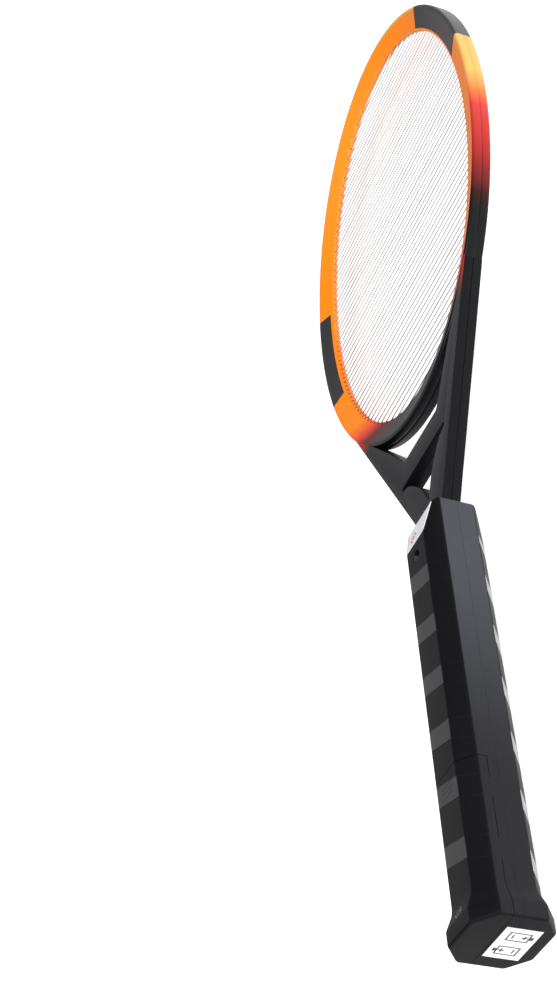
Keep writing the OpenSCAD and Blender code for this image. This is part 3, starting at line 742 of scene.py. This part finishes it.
def shell_fade(colours, name="shell_fade"):
    """Orange casing that fades through red to black towards the throat, ahead on the outer wall, with a paler orange
    towards the tip on the left as a painted highlight.
    """
    finish = Finish(name, roughness=0.38, specular=0.16)
    nz = finish.normal()[2]
    hoop = Hoop(bpy.context.scene.swatter_hoop)
    across = finish.x / HALF_WIDTH
    along = (finish.y - hoop.middle) / hoop.half_length
    depth = (1 - (across * across + along * along).math("SQRT")) * HALF_WIDTH
    edge = finish.x.rise(0, 40) * depth.fall(1.8, 2.4)
    facing = nz.abs().rise(0.35, 0.8) * finish.z.abs().rise(0.7, 1.1) * (1 - edge)
    mottle = finish.noise(45, 2) * 10 - 5
    wall_y = finish.y + mottle * 0.6
    face_y = finish.y + mottle - (finish.x.abs() - 50) * 0.1
    # At the throat end the walls' black against the faces' throat grey is painted shade, as on the throat.
    wall = finish.node(
        "ShaderNodeValToRGB",
        {"stops": [
            (0.0, colours.black), (0.20, colours.black), (0.26, (0.02, 0.003, 0.003)), (0.36, (0.2, 0.01, 0.01)),
            (0.48, (0.38, 0.02, 0.016)), (0.62, colours.red), (0.70, (0.7, 0.16, 0.03)), (0.82, colours.yellow),
        ]},
        {0: (wall_y - 330) / 150},
    ).outputs[0]
    face = finish.node(
        "ShaderNodeValToRGB",
        {"stops": [
            (0.0, colours.throat), (0.16, colours.throat), (0.34, (0.12, 0.012, 0.01)),
            (0.48, (0.75, 0.045, 0.02)), (0.66, colours.orange), (1.0, colours.orange),
        ]},
        {0: (face_y - 305) / 70},
    ).outputs[0]
    # Painted highlight: the face turns paler orange towards the tip, more on the left side.
    pale = finish.y.rise(470, 590) * finish.x.fall(-60, 80)
    face = finish.mix(pale * 0.35, face, (1.0, 0.36, 0.05))
    grain = finish.noise(700, 3)
    finish.set("Base Color", finish.mix(facing, wall, face))
    finish.set("Roughness", 0.34 + grain * 0.1)
    finish.bump(grain, 0.25, 0.00003)
    return finish.material


def throat_finish(colours):
    """Satin throat: grey flats, walls darkened to near-black as painted shade, and a red blush at the fork's outer
    corners.
    """
    finish = Finish("throat_satin", roughness=0.42, specular=0.12)
    nz = finish.normal()[2]
    # Painted shade: walls facing sideways take the near-black tone, only the flats take the throat grey.
    facing = nz.abs().rise(0.6, 0.95) * finish.z.abs().rise(0.7, 1.1)
    mottle = finish.noise(60, 2) * 8 - 4
    blush = (finish.y + mottle + finish.x.abs() * 0.25).rise(334, 352)
    flat = finish.mix(blush, colours.throat, (0.4, 0.03, 0.015))
    grain = finish.noise(800, 3)
    finish.set("Base Color", finish.mix(facing, colours.black, flat))
    finish.set("Roughness", 0.4 + grain * 0.12)
    finish.bump(grain, 0.4, 0.00003)
    return finish.material


def carrier_finish(colours):
    """The insulating ring, in the same fade as the casing's face."""
    finish = Finish("carrier_fade", roughness=0.45)
    face = finish.node(
        "ShaderNodeValToRGB",
        {"stops": [
            (0.0, colours.black), (0.35, (0.2, 0.02, 0.01)),
            (0.6, (0.7, 0.1, 0.01)), (1.0, (0.8, 0.17, 0.01)),
        ]},
        {0: (finish.y - 310) / 80},
    ).outputs[0]
    grain = finish.noise(900, 2)
    finish.set("Base Color", face)
    finish.set("Roughness", 0.42 + grain * 0.12)
    return finish.material


def wrap_bands(finish):
    """The grip's slanted bands: 1 on a light band, and the height of its thin raised borders."""
    pitch = 28.9
    turn = finish.node("ShaderNodeMath", {"operation": "ARCTAN2"}, {0: finish.x, 1: finish.z})
    turn = Value(finish, turn.outputs[0]) / (2 * math.pi)
    phase = ((finish.y - 32.8) / pitch + turn + 8).fract()
    inside = finish.y.within(16.5, 202, 0.4)
    band = phase.within(0.012, 0.352, 0.01) * inside
    border = (phase.within(-0.004, 0.016, 0.006) + phase.within(0.348, 0.368, 0.006)
              + phase.within(0.994, 1.01, 0.004)) * inside
    return band, border


def grip_finish(colours):
    """Satin black grip with a wrap of lighter, glossier bands and fine borders, painted in lit and shaded copies by
    facing: lighter back and front faces, side faces lighter still towards the throat, bevels and butt darkest as
    painted shade, and pale front bands as a painted highlight.
    """
    finish = Finish("grip_wrap", specular=0.1)
    band, border = wrap_bands(finish)
    ny, nz = finish.normal()[1:]
    flats = nz.rise(0.9, 0.985)
    front = nz.fall(-0.5, -0.35)
    sides = nz.abs().fall(0.1, 0.3) * ny.rise(-0.8, -0.6)
    grain = finish.noise(1100, 3)
    cloud = finish.noise(35, 3, (1, 0.5, 1))
    base = finish.mix(cloud, [c * 0.8 for c in colours.grip], [c * 1.4 for c in colours.grip])
    # Painted light: the side faces get a lighter grey that brightens towards the throat.
    side = finish.mix(finish.y.rise(60, 200), (0.015, 0.015, 0.017), (0.055, 0.057, 0.066))
    # Painted light and shade: the back and front faces get lighter greys, and the bevels and the butt keep the darkest
    # tone as painted shade.
    plain = finish.mix(flats, finish.mix(sides, base, side), (0.02, 0.02, 0.021))
    plain = finish.mix(front, plain, (0.03, 0.03, 0.028))
    light = finish.mix(flats, plain, (0.062, 0.062, 0.064))
    # Painted highlight: the bands on the front faces are pale grey.
    light = finish.mix(front, light, (0.35, 0.35, 0.35))
    finish.set("Base Color", finish.mix(band, plain, light))
    finish.set("Roughness", 0.5 - band * (flats + front) * 0.14 + grain * 0.1 + cloud * 0.06)
    finish.bump(border * 1.6 + grain * 0.25 + cloud * 0.2, 0.7, 0.0001)
    return finish.material


def ramp_label_finish(colours):
    """White label with a thin outline, a red lozenge and plain rules."""
    finish = Finish("ramp_label_print", roughness=0.4)
    grain = finish.noise(1500, 2)
    along = (finish.y - 204) / 18
    half = 8.9 + along * 3.2
    edge = (half - finish.x.abs()).smallest((finish.y - 204.4) * 1.1).smallest((220.6 - finish.y) * 1.1)
    outline = edge.within(0.45, 0.75, 0.1)
    px, py = finish.x + 3.4, finish.y - 211.6
    lozenge = px.abs() + py.abs()
    mark = lozenge.within(2.6, 3.7, 0.12)
    heart = lozenge.fall(1.2, 1.6)
    rules = ((finish.y * 0.9).fract()).within(0.35, 0.6, 0.08)
    rules = rules * finish.x.within(0.6, 6.6, 0.1) * finish.y.within(207, 217.5, 0.1)
    paper = finish.mix(grain, [c * 0.96 for c in colours.paper], colours.paper)
    shade = finish.mix(outline, paper, (0.12, 0.12, 0.13))
    shade = finish.mix(mark, shade, (0.6, 0.07, 0.04))
    shade = finish.mix(heart, shade, (0.3, 0.12, 0.1))
    shade = finish.mix(rules * 0.35, shade, (0.3, 0.3, 0.3))
    finish.set("Base Color", shade)
    finish.set("Roughness", 0.38 + grain * 0.1)
    return finish.material


def butt_label_finish(colours):
    """White label with a plain picture of the two cells and their poles."""
    finish = Finish("butt_label_print", roughness=0.4)
    grain = finish.noise(1500, 2)
    u, v = finish.x, finish.z + 4.6
    ink = None
    for at, way in ((-5.4, 1), (5.4, -1)):
        du = (u - at).abs()
        dv = v.abs()
        body = (3.3 - du).smallest(4.9 - dv).within(0.0, 0.75, 0.06)
        pole = (1.2 - du).smallest(0.8 - (v - way * 5.6).abs()).rise(-0.05, 0.1)
        bar = (1.4 - du).smallest(0.4 - (v - way * 2.6).abs()).rise(-0.05, 0.06)
        post = (0.4 - du).smallest(1.4 - (v - way * 2.6).abs()).rise(-0.05, 0.06)
        minus = (1.4 - du).smallest(0.4 - (v + way * 2.6).abs()).rise(-0.05, 0.06)
        for part in (body, pole, bar, post, minus):
            ink = part if ink is None else ink.largest(part)
    edge = (11.6 - u.abs()).smallest(7.95 - v.abs())
    paper = finish.mix(grain, [c * 0.95 for c in colours.paper], colours.paper)
    shade = finish.mix(ink, paper, (0.015, 0.015, 0.018))
    finish.set("Base Color", finish.mix(edge.fall(0.0, 0.2), shade, (0.5, 0.5, 0.5)))
    finish.set("Roughness", 0.38 + grain * 0.1)
    return finish.material


def cell_finish():
    """Printed sleeve of a cell in plain bands, with bare steel ends."""
    finish = Finish("cell_sleeve")
    spread = (finish.x.abs() - 7.4).math("MULTIPLY", finish.x.abs() - 7.4) + (finish.z + 3).math("MULTIPLY", finish.z + 3)
    radius = spread.math("SQRT")
    sleeve = radius.rise(6.6, 6.75)
    grain = finish.noise(500, 2)
    band = (finish.y * 0.02).fract().rise(0.48, 0.5)
    print_shade = finish.mix(band, (0.02, 0.09, 0.05), (0.75, 0.62, 0.1))
    finish.set("Base Color", finish.mix(sleeve, (0.62, 0.61, 0.58), print_shade))
    finish.set("Metallic", 1 - sleeve * 0.6)
    finish.set("Roughness", 0.28 + grain * 0.12)
    return finish.material


def board_finish():
    """Printed board with its copper runs showing through the mask."""
    finish = Finish("board_mask", roughness=0.4)
    runs = ((finish.x * 0.28).fract().within(0.3, 0.5, 0.04)).largest((finish.y * 0.11).fract().within(0.4, 0.5, 0.03))
    grain = finish.noise(900, 2)
    finish.set("Base Color", finish.mix(runs, (0.01, 0.06, 0.02), (0.03, 0.14, 0.05)))
    finish.set("Roughness", 0.35 + grain * 0.1)
    finish.bump(runs, 0.4, 0.00004)
    return finish.material


def resistor_finish():
    """Tan bodies with four plain colour rings, and tinned leads."""
    finish = Finish("resistor_coat", roughness=0.35)
    along = finish.x - 3
    body = along.within(1.1, 6.9, 0.05)
    shade = (0.55, 0.42, 0.25)
    coat = finish.mix(along.within(2.0, 2.6, 0.05), shade, (0.25, 0.03, 0.01))
    coat = finish.mix(along.within(3.2, 3.8, 0.05), coat, (0.02, 0.02, 0.02))
    coat = finish.mix(along.within(4.4, 5.0, 0.05), coat, (0.6, 0.2, 0.02))
    finish.set("Base Color", finish.mix(body, (0.6, 0.6, 0.6), coat))
    finish.set("Metallic", 1 - body)
    return finish.material


def diode_finish():
    """Black bodies with a pale ring, and tinned leads."""
    finish = Finish("diode_body", roughness=0.3)
    along = finish.x + 9
    body = along.within(1.1, 5.7, 0.05)
    coat = finish.mix(along.within(4.4, 5.1, 0.05), (0.01, 0.01, 0.01), (0.5, 0.5, 0.5))
    finish.set("Base Color", finish.mix(body, (0.6, 0.6, 0.6), coat))
    finish.set("Metallic", 1 - body)
    return finish.material


def winding_finish():
    """Fine copper wire under yellow tape."""
    finish = Finish("winding_tape", roughness=0.35)
    turns = (finish.y * 2.6).fract().within(0.2, 0.8, 0.15)
    finish.set("Base Color", finish.mix(turns, (0.35, 0.13, 0.02), (0.75, 0.5, 0.06)))
    finish.bump(turns, 0.5, 0.0001)
    return finish.material


def insulated(name, shade, other=None):
    """Wire insulation, in one colour on each side of the middle where two are given."""
    finish = Finish(name, roughness=0.4)
    grain = finish.noise(900, 2)
    tone = finish.mix(grain, [c * 0.8 for c in shade], shade)
    if other:
        tone = finish.mix(finish.x.rise(-0.5, 0.5), tone, other)
    finish.set("Base Color", tone)
    finish.set("Roughness", 0.35 + grain * 0.15)
    return finish.material


def lamp_finish():
    """Tinted lamp with a brighter core."""
    finish = Finish("lamp_tint", roughness=0.12, coat=0.4)
    spread = finish.x.math("MULTIPLY", finish.x).math("SQRT")
    finish.set("Base Color", finish.mix(spread.rise(0.2, 1.5), (0.9, 0.08, 0.05), (0.45, 0.01, 0.01)))
    return finish.material


def grid_finish():
    """Bare drawn wire, a little dull and uneven from row to row."""
    finish = Finish("grid_wire", metallic=1.0)
    tone = finish.noise(90, 2, (0.15, 2.5, 1))
    streak = finish.noise(500, 3, (0.05, 1, 1))
    shade = finish.mix(tone.rise(0.35, 0.7), (0.8, 0.8, 0.81), (0.5, 0.49, 0.5))
    finish.set("Base Color", finish.mix(streak * 0.5, shade, (0.9, 0.9, 0.9)))
    finish.set("Roughness", 0.3 + streak * 0.2)
    return finish.material


def floor_finish():
    finish = Finish("studio_floor", roughness=0.7, specular=0.2)
    cloud = finish.noise(1.5, 2)
    finish.set("Base Color", finish.mix(cloud, (0.62, 0.62, 0.625), (0.66, 0.66, 0.66)))
    finish.set("Emission Color", (1.0, 1.0, 1.0))
    finish.set("Emission Strength", 0.85)
    return finish.material


# ---------------------------------------------------------------------------
# Operators
# ---------------------------------------------------------------------------


class SwatterOperator:
    """What the swatter's operators share."""

    bl_options = {"REGISTER", "UNDO"}


def palette():
    """The scene's colours as plain tuples."""
    owner = bpy.context.scene.swatter_colours

    class Tones:
        pass

    for key in owner.__annotations__:
        setattr(Tones, key, tuple(getattr(owner, key)))
    return Tones


class SWATTER_OT_frame(SwatterOperator, bpy.types.Operator):
    """Adds the rim casings with their notched lips, the forked throat and the dark patches"""

    bl_idname = "swatter.frame"
    bl_label = "Hoop and throat"

    def execute(self, context):
        tones = palette()
        fade, satin = shell_fade(tones), throat_finish(tones)
        for side, word in ((1, "rear"), (-1, "front")):
            finish_piece(
                f"{word}_rim", build_rim_shell(side), "racket", fade,
                [f"frame_{word}_shell"], 38,
            )
            finish_piece(f"{word}_throat", build_throat(side), "racket", satin, (), 38)
        hoop = Hoop(context.scene.swatter_hoop)
        bm = bmesh.new()
        skin = 0.07
        h = hoop.half_thickness
        wall = [(0.05, 0.7 - h), (-0.06, 1.3 - h), (-0.06, 2.2), (0.02, 3.3)]
        for first, last, deep, side in ((15.0, 51.5, 13.0, wall), (173.0, 204.0, 11.0, [])):
            outer = side + [(0.13, h - 0.8), (0.34, h - 0.32),
                     (0.75, h - 0.02), (1.3, h - 0.01 + skin), (2.1, h - 0.03 + skin), (3.0, hoop.height(3) + skin),
                     (7.0, hoop.height(7) + skin), (deep, hoop.height(deep) + skin)]
            inner = [(d + 0.25, z - 0.1 if z > 1 else z) for d, z in outer]
            hoop.sweep(bm, outer + inner[::-1], first, last, 24)
        face_out(bm)
        patch = moulded_plastic("badge_satin", (0.03, 0.03, 0.034), 0.42)
        finish_piece("rim_patches", bm, "racket", patch, ["rim_badges"], 40)
        return {"FINISHED"}


class SWATTER_OT_grip(SwatterOperator, bpy.types.Operator):
    """Adds the two grip casings with their seams, screw well, lamp hole and button opening"""

    bl_idname = "swatter.grip"
    bl_label = "Grip casings"

    def execute(self, context):
        grip = Grip(context.scene.swatter_grip)
        wrap = grip_finish(palette())
        bm = grip_skin(grip)
        well = isolate(bm, flat_face(bm, 1), -4.4, 4.4, 192.6, 201.4)
        sink_hole(bm, well, 3.0, 3.0, 10.6)
        cut(bm, (0, 0, 0.05), (0, 0, -1), cap=False)
        bay_cut(bm, grip, False)
        thicken(bm, grip.wall)
        right = [p for p in grip.ring(76.3, -1.2) if p.x > 0 and p.z > 0]
        right.sort(key=lambda p: p.z)
        half = [Vector((right[0].x, 76.3, 0.1))] + right
        slab(bm, half + [Vector((-p.x, p.y, p.z)) for p in half[::-1]], (0, 1.8, 0))
        block(bm, (-12.2, 65.6, 0.05), (12.2, 76.6, 2.0), 0.2)
        finish_piece("rear_grip", bm, "racket", wrap, ["grip_rear_shell"], 30)
        bm = grip_skin(grip)
        opening = isolate(bm, flat_face(bm, -1), -7.4, 7.4, 154.2, 175.8)
        sink_hole(bm, opening, 5.85, 9.35, 2.1, 7.0)
        lamp = isolate(bm, flat_face(bm, -1), -2.8, 2.8, 181.2, 186.8)
        sink_hole(bm, lamp, 1.7, 1.7, 2.6, 2.0, 0.2)
        cut(bm, (0, 0, -0.05), (0, 0, 1), cap=False)
        thicken(bm, grip.wall)
        for y in (19, 49):
            block(bm, (-10.6, y, -13.9), (10.6, y + 1.6, -8.6), 0.2)
        finish_piece("front_grip", bm, "racket", wrap, ["grip_front_shell"], 30)
        return {"FINISHED"}


class SWATTER_OT_door(SwatterOperator, bpy.types.Operator):
    """Adds the battery door with its thumb ridges, arrow and rails"""

    bl_idname = "swatter.door"
    bl_label = "Battery door"

    def execute(self, context):
        grip = Grip(context.scene.swatter_grip)
        bm = grip_skin(grip)
        bay_cut(bm, grip, True)
        thicken(bm, grip.wall)
        for i in range(3):
            y = 65.3 + 2.4 * i
            block(bm, (-4.5, y, 15.4), (4.5, y + 0.8, 15.8), 0.08, 2)
        for way in (-1, 1):
            block(bm, (min(way * 13.6, way * 14.9), 2.8, 1.1), (max(way * 13.6, way * 14.9), 74, 8.6), 0.15)
        finish_piece(
            "door", bm, "door", grip_finish(palette()), ["battery_door"], 30
        )
        bm = bmesh.new()
        arrow = [(-1.5, 5.2), (1.5, 5.2), (1.5, 2.8), (3.4, 2.8), (0, 0.1), (-3.4, 2.8), (-1.5, 2.8)]
        lean = math.atan2(0.86 - 3.1, 13.2 - 7.8)
        face = outline_face(bm, [Vector((x, y, 0.12)) for x, y in arrow[::-1]])
        face.normal_update()
        bmesh.ops.inset_individual(bm, faces=[face], thickness=0.35, use_even_offset=True)
        bmesh.ops.delete(bm, geom=[face], context="FACES_ONLY")
        bmesh.ops.solidify(bm, geom=bm.faces[:], thickness=0.2)
        place = Matrix.Translation((0, 7.9, 15.7 + 3.08)) @ Matrix.Rotation(lean, 4, "X")
        bmesh.ops.transform(bm, matrix=place, verts=bm.verts)
        face_out(bm)
        arrow_tone = moulded_plastic("arrow_print", (0.09, 0.09, 0.095), 0.4)
        finish_piece("door_arrow", bm, "door", arrow_tone)
        return {"FINISHED"}


class SWATTER_OT_controls(SwatterOperator, bpy.types.Operator):
    """Adds the push button and the indicator lamp on the front face"""

    bl_idname = "swatter.controls"
    bl_label = "Button and lamp"

    def execute(self, context):
        bm = bmesh.new()
        low, high = node_box("push_button")
        middle = (low[1] + high[1]) / 2
        ring = bmesh.ops.create_circle(bm, cap_ends=False, segments=48, radius=5)["verts"]
        bmesh.ops.translate(bm, vec=(0, middle, -13.3), verts=ring)
        centre = Vector((0, middle, 0))
        shape_ring(ring, centre, 6.6, 10.1, 7)
        edges = [e for e in bm.edges]
        bmesh.ops.contextual_create(bm, geom=edges)
        for z, shrink in ((-13.6, 6.6), (-13.6, 5.5), (-16.6, 5.5), (-17.1, 5.3), (low[2], 4.9), (low[2], 4.4),
                          (low[2] + 0.35, 3.0)):
            made = bmesh.ops.extrude_edge_only(bm, edges=edges)["geom"]
            edges = [g for g in made if isinstance(g, bmesh.types.BMEdge)]
            verts = [g for g in made if isinstance(g, bmesh.types.BMVert)]
            shape_ring(verts, centre, shrink, shrink + 3.5, 7)
            for v in verts:
                v.co.z = z
        bmesh.ops.contextual_create(bm, geom=edges)
        face_out(bm)
        for i in range(3):
            block(bm, (-2.4, middle - 2.9 + 2.4 * i, low[2] + 0.02), (2.4, middle - 1.9 + 2.4 * i, low[2] + 0.8), 0.25)
        turned(bm, [(-13.4, 0.0), (-13.4, 1.6), (high[2] - 0.2, 1.6), (high[2], 1.4), (high[2], 0.0)],
               (0, middle, 0), (0, 0, 1), 24)
        face_out(bm)
        shade = moulded_plastic("button_satin", (0.012, 0.012, 0.014), 0.42)
        finish_piece("button_cap", bm, "button", shade, ["push_button"], 32)
        bm = bmesh.new()
        low, high = node_box("indicator_led")
        y = (low[1] + high[1]) / 2
        dome = [(low[2] + 1.5 - 1.5 * math.cos(a * math.pi / 16), 1.5 * math.sin(a * math.pi / 16)) for a in range(9)]
        turned(bm, dome + [(high[2] - 0.9, 1.5), (high[2] - 0.9, 1.75), (high[2], 1.75), (high[2], 0.0)],
               (0, y, 0), (0, 0, 1), 28)
        face_out(bm)
        finish_piece("lamp", bm, "racket", lamp_finish(), ["indicator_led"], 35)
        return {"FINISHED"}


class SWATTER_OT_cells(SwatterOperator, bpy.types.Operator):
    """Adds the two cells with crimped ends"""

    bl_idname = "swatter.cells"
    bl_label = "Cells"

    def execute(self, context):
        sleeve = cell_finish()
        for name, way in (("cell_left", 1), ("cell_right", -1)):
            low, high = node_box(name)
            bm = bmesh.new()
            x, z = (low[0] + high[0]) / 2, (low[2] + high[2]) / 2
            r, length = (high[0] - low[0]) / 2, high[1] - low[1]
            start = low[1] if way > 0 else high[1]
            profile = [(0.0, 0.0), (0.0, 5.2), (0.15, 5.6), (0.1, r - 0.7), (0.35, r - 0.15), (0.8, r),
                       (length - 2.3, r), (length - 1.7, r - 0.2), (length - 1.45, r - 0.7), (length - 1.4, r - 1.2),
                       (length - 1.7, r - 1.6), (length - 1.7, 3.0), (length - 1.5, 2.75), (length - 0.2, 2.65),
                       (length, 2.4), (length, 0.0)]
            turned(bm, profile, (x, start, z), (0, way, 0), 48)
            face_out(bm)
            finish_piece(name + "_can", bm, "racket", sleeve, [name], 35)
        return {"FINISHED"}


class SWATTER_OT_finishes(SwatterOperator, bpy.types.Operator):
    """Gives the pieces that keep their CAD shape their finishes"""

    bl_idname = "swatter.finishes"
    bl_label = "Finishes"

    def execute(self, context):
        tones = palette()
        wires = grid_finish()
        nickel = bare_metal("contact_nickel", (0.7, 0.68, 0.62), 0.28)
        bar = bare_metal("busbar_copper", (0.6, 0.33, 0.16), 0.4)
        steel = bare_metal("screw_zinc", (0.45, 0.45, 0.48), 0.35)
        looks = {
            "wire_carrier": carrier_finish(tones),
            "live_wires": wires,
            "ground_wires": wires,
            "live_busbar": bar,
            "ground_busbar": bar,
            "live_lead": insulated("lead_red", (0.5, 0.02, 0.015)),
            "ground_lead": insulated("lead_black", (0.012, 0.012, 0.012)),
            "battery_leads": insulated("battery_lead_pair", (0.5, 0.02, 0.015), (0.012, 0.012, 0.012)),
            "battery_link": nickel,
            "link_spring": nickel,
            "positive_contact": nickel,
            "negative_contact": nickel,
            "negative_spring": nickel,
            "button_spring": nickel,
            "circuit_board": board_finish(),
            "transformer_core": moulded_plastic("ferrite", (0.03, 0.03, 0.033), 0.6, 600),
            "transformer_winding": winding_finish(),
            "hv_capacitor": moulded_plastic("capacitor_resin", (0.3, 0.03, 0.015), 0.25, 300),
            "rectifier_diodes": diode_finish(),
            "resistors": resistor_finish(),
            "switching_transistor": moulded_plastic("transistor_case", (0.015, 0.015, 0.016), 0.5),
            "push_switch": moulded_plastic("switch_case", (0.02, 0.02, 0.022), 0.45),
            "board_screws": steel,
            "grip_screws": steel,
            "ramp_label": ramp_label_finish(tones),
            "butt_label": butt_label_finish(tones),
        }
        for name, material in looks.items():
            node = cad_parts[name]
            node.data.materials.clear()
            node.data.materials.append(material)
        return {"FINISHED"}


class SWATTER_OT_stage(SwatterOperator, bpy.types.Operator):
    """Adds the floor, the soft lights, the surroundings and the camera"""

    bl_idname = "swatter.stage"
    bl_label = "Stage"

    def execute(self, context):
        scene = context.scene
        stage = scene.swatter_stage
        bm = bmesh.new()
        bmesh.ops.create_grid(bm, x_segments=1, y_segments=1, size=stage.floor_size / 2)
        bmesh.ops.translate(bm, vec=(0, 0.3, CAD_BOX[0][2] - 0.0003), verts=bm.verts)
        mesh = bpy.data.meshes.new("floor")
        bm.to_mesh(mesh)
        bm.free()
        mesh.materials.append(floor_finish())
        floor = bpy.data.objects.new("floor", mesh)
        scene.collection.objects.link(floor)

        sun_data = bpy.data.lights.new("window", "SUN")
        sun_data.energy = 4.0
        sun_data.angle = math.radians(50)
        sun = bpy.data.objects.new("window", sun_data)
        scene.collection.objects.link(sun)
        sun.rotation_euler = Vector((-0.58, 0.46, -0.67)).to_track_quat("-Z", "Y").to_euler()

        world = bpy.data.worlds.new("studio")
        world.use_nodes = True
        tree = world.node_tree
        tree.nodes["Background"].inputs[1].default_value = 1.0
        direction = tree.nodes.new("ShaderNodeTexCoord")
        split = tree.nodes.new("ShaderNodeSeparateXYZ")
        ramp = tree.nodes.new("ShaderNodeValToRGB")
        tree.links.new(direction.outputs["Generated"], split.inputs[0])
        tree.links.new(split.outputs[2], ramp.inputs[0])
        tree.links.new(ramp.outputs[0], tree.nodes["Background"].inputs[0])
        stops = [(0.0, 0.8), (0.22, 0.7), (0.4, 0.3), (0.62, 0.05), (1.0, 0.1)]
        while len(ramp.color_ramp.elements) < len(stops):
            ramp.color_ramp.elements.new(0.5)
        for element, (at, tone) in zip(ramp.color_ramp.elements, stops):
            element.position = at
            element.color = (tone * 0.97, tone * 0.98, tone, 1.0)
        scene.world = world
        scene.view_settings.view_transform = "Standard"

        data = bpy.data.cameras.new("camera")
        data.lens = stage.lens
        data.sensor_width = 36
        data.shift_x = stage.camera_shift_x
        data.shift_y = stage.camera_shift_y
        data.clip_start = 0.01
        data.clip_end = 50
        camera = bpy.data.objects.new("camera", data)
        scene.collection.objects.link(camera)
        right = Vector((0.36380, -0.05864, -0.92963))
        up = Vector((0.64530, 0.73559, 0.20613))
        back = right.cross(up)
        turn = Matrix((right, up, back)).transposed().to_4x4()
        camera.matrix_world = Matrix.Translation((0.56115, -0.34965, 0.32381)) @ turn
        scene.camera = camera
        return {"FINISHED"}


class SWATTER_PT_panel(bpy.types.Panel):
    """Lists the swatter's pieces and their sizes"""

    bl_idname = "SWATTER_PT_panel"
    bl_label = "Electric fly swatter"
    bl_space_type = "VIEW_3D"
    bl_region_type = "UI"
    bl_category = "Swatter"

    def draw(self, context):
        layout = self.layout
        for operator in STEPS:
            layout.operator(operator.bl_idname)
        for owner in GROUPS:
            group = getattr(context.scene, owner)
            box = layout.box()
            for key in group.__annotations__:
                box.prop(group, key)


GROUPS = {
    "swatter_hoop": SwatterHoopSizes,
    "swatter_grip": SwatterGripSizes,
    "swatter_colours": SwatterColours,
    "swatter_stage": SwatterStage,
}
STEPS = [
    SWATTER_OT_frame, SWATTER_OT_grip, SWATTER_OT_door, SWATTER_OT_controls, SWATTER_OT_cells,
    SWATTER_OT_finishes, SWATTER_OT_stage,
]


def register():
    for cls in [*GROUPS.values(), *STEPS, SWATTER_PT_panel]:
        bpy.utils.register_class(cls)
    for name, cls in GROUPS.items():
        setattr(bpy.types.Scene, name, PointerProperty(type=cls))


def unregister():
    for name in GROUPS:
        delattr(bpy.types.Scene, name)
    for cls in reversed([*GROUPS.values(), *STEPS, SWATTER_PT_panel]):
        bpy.utils.unregister_class(cls)


def main():
    register()
    bpy.ops.swatter.frame()
    bpy.ops.swatter.grip()
    bpy.ops.swatter.door()
    bpy.ops.swatter.controls()
    bpy.ops.swatter.cells()
    bpy.ops.swatter.finishes()
    bpy.ops.swatter.stage()


if __name__ == "__main__":
    main()
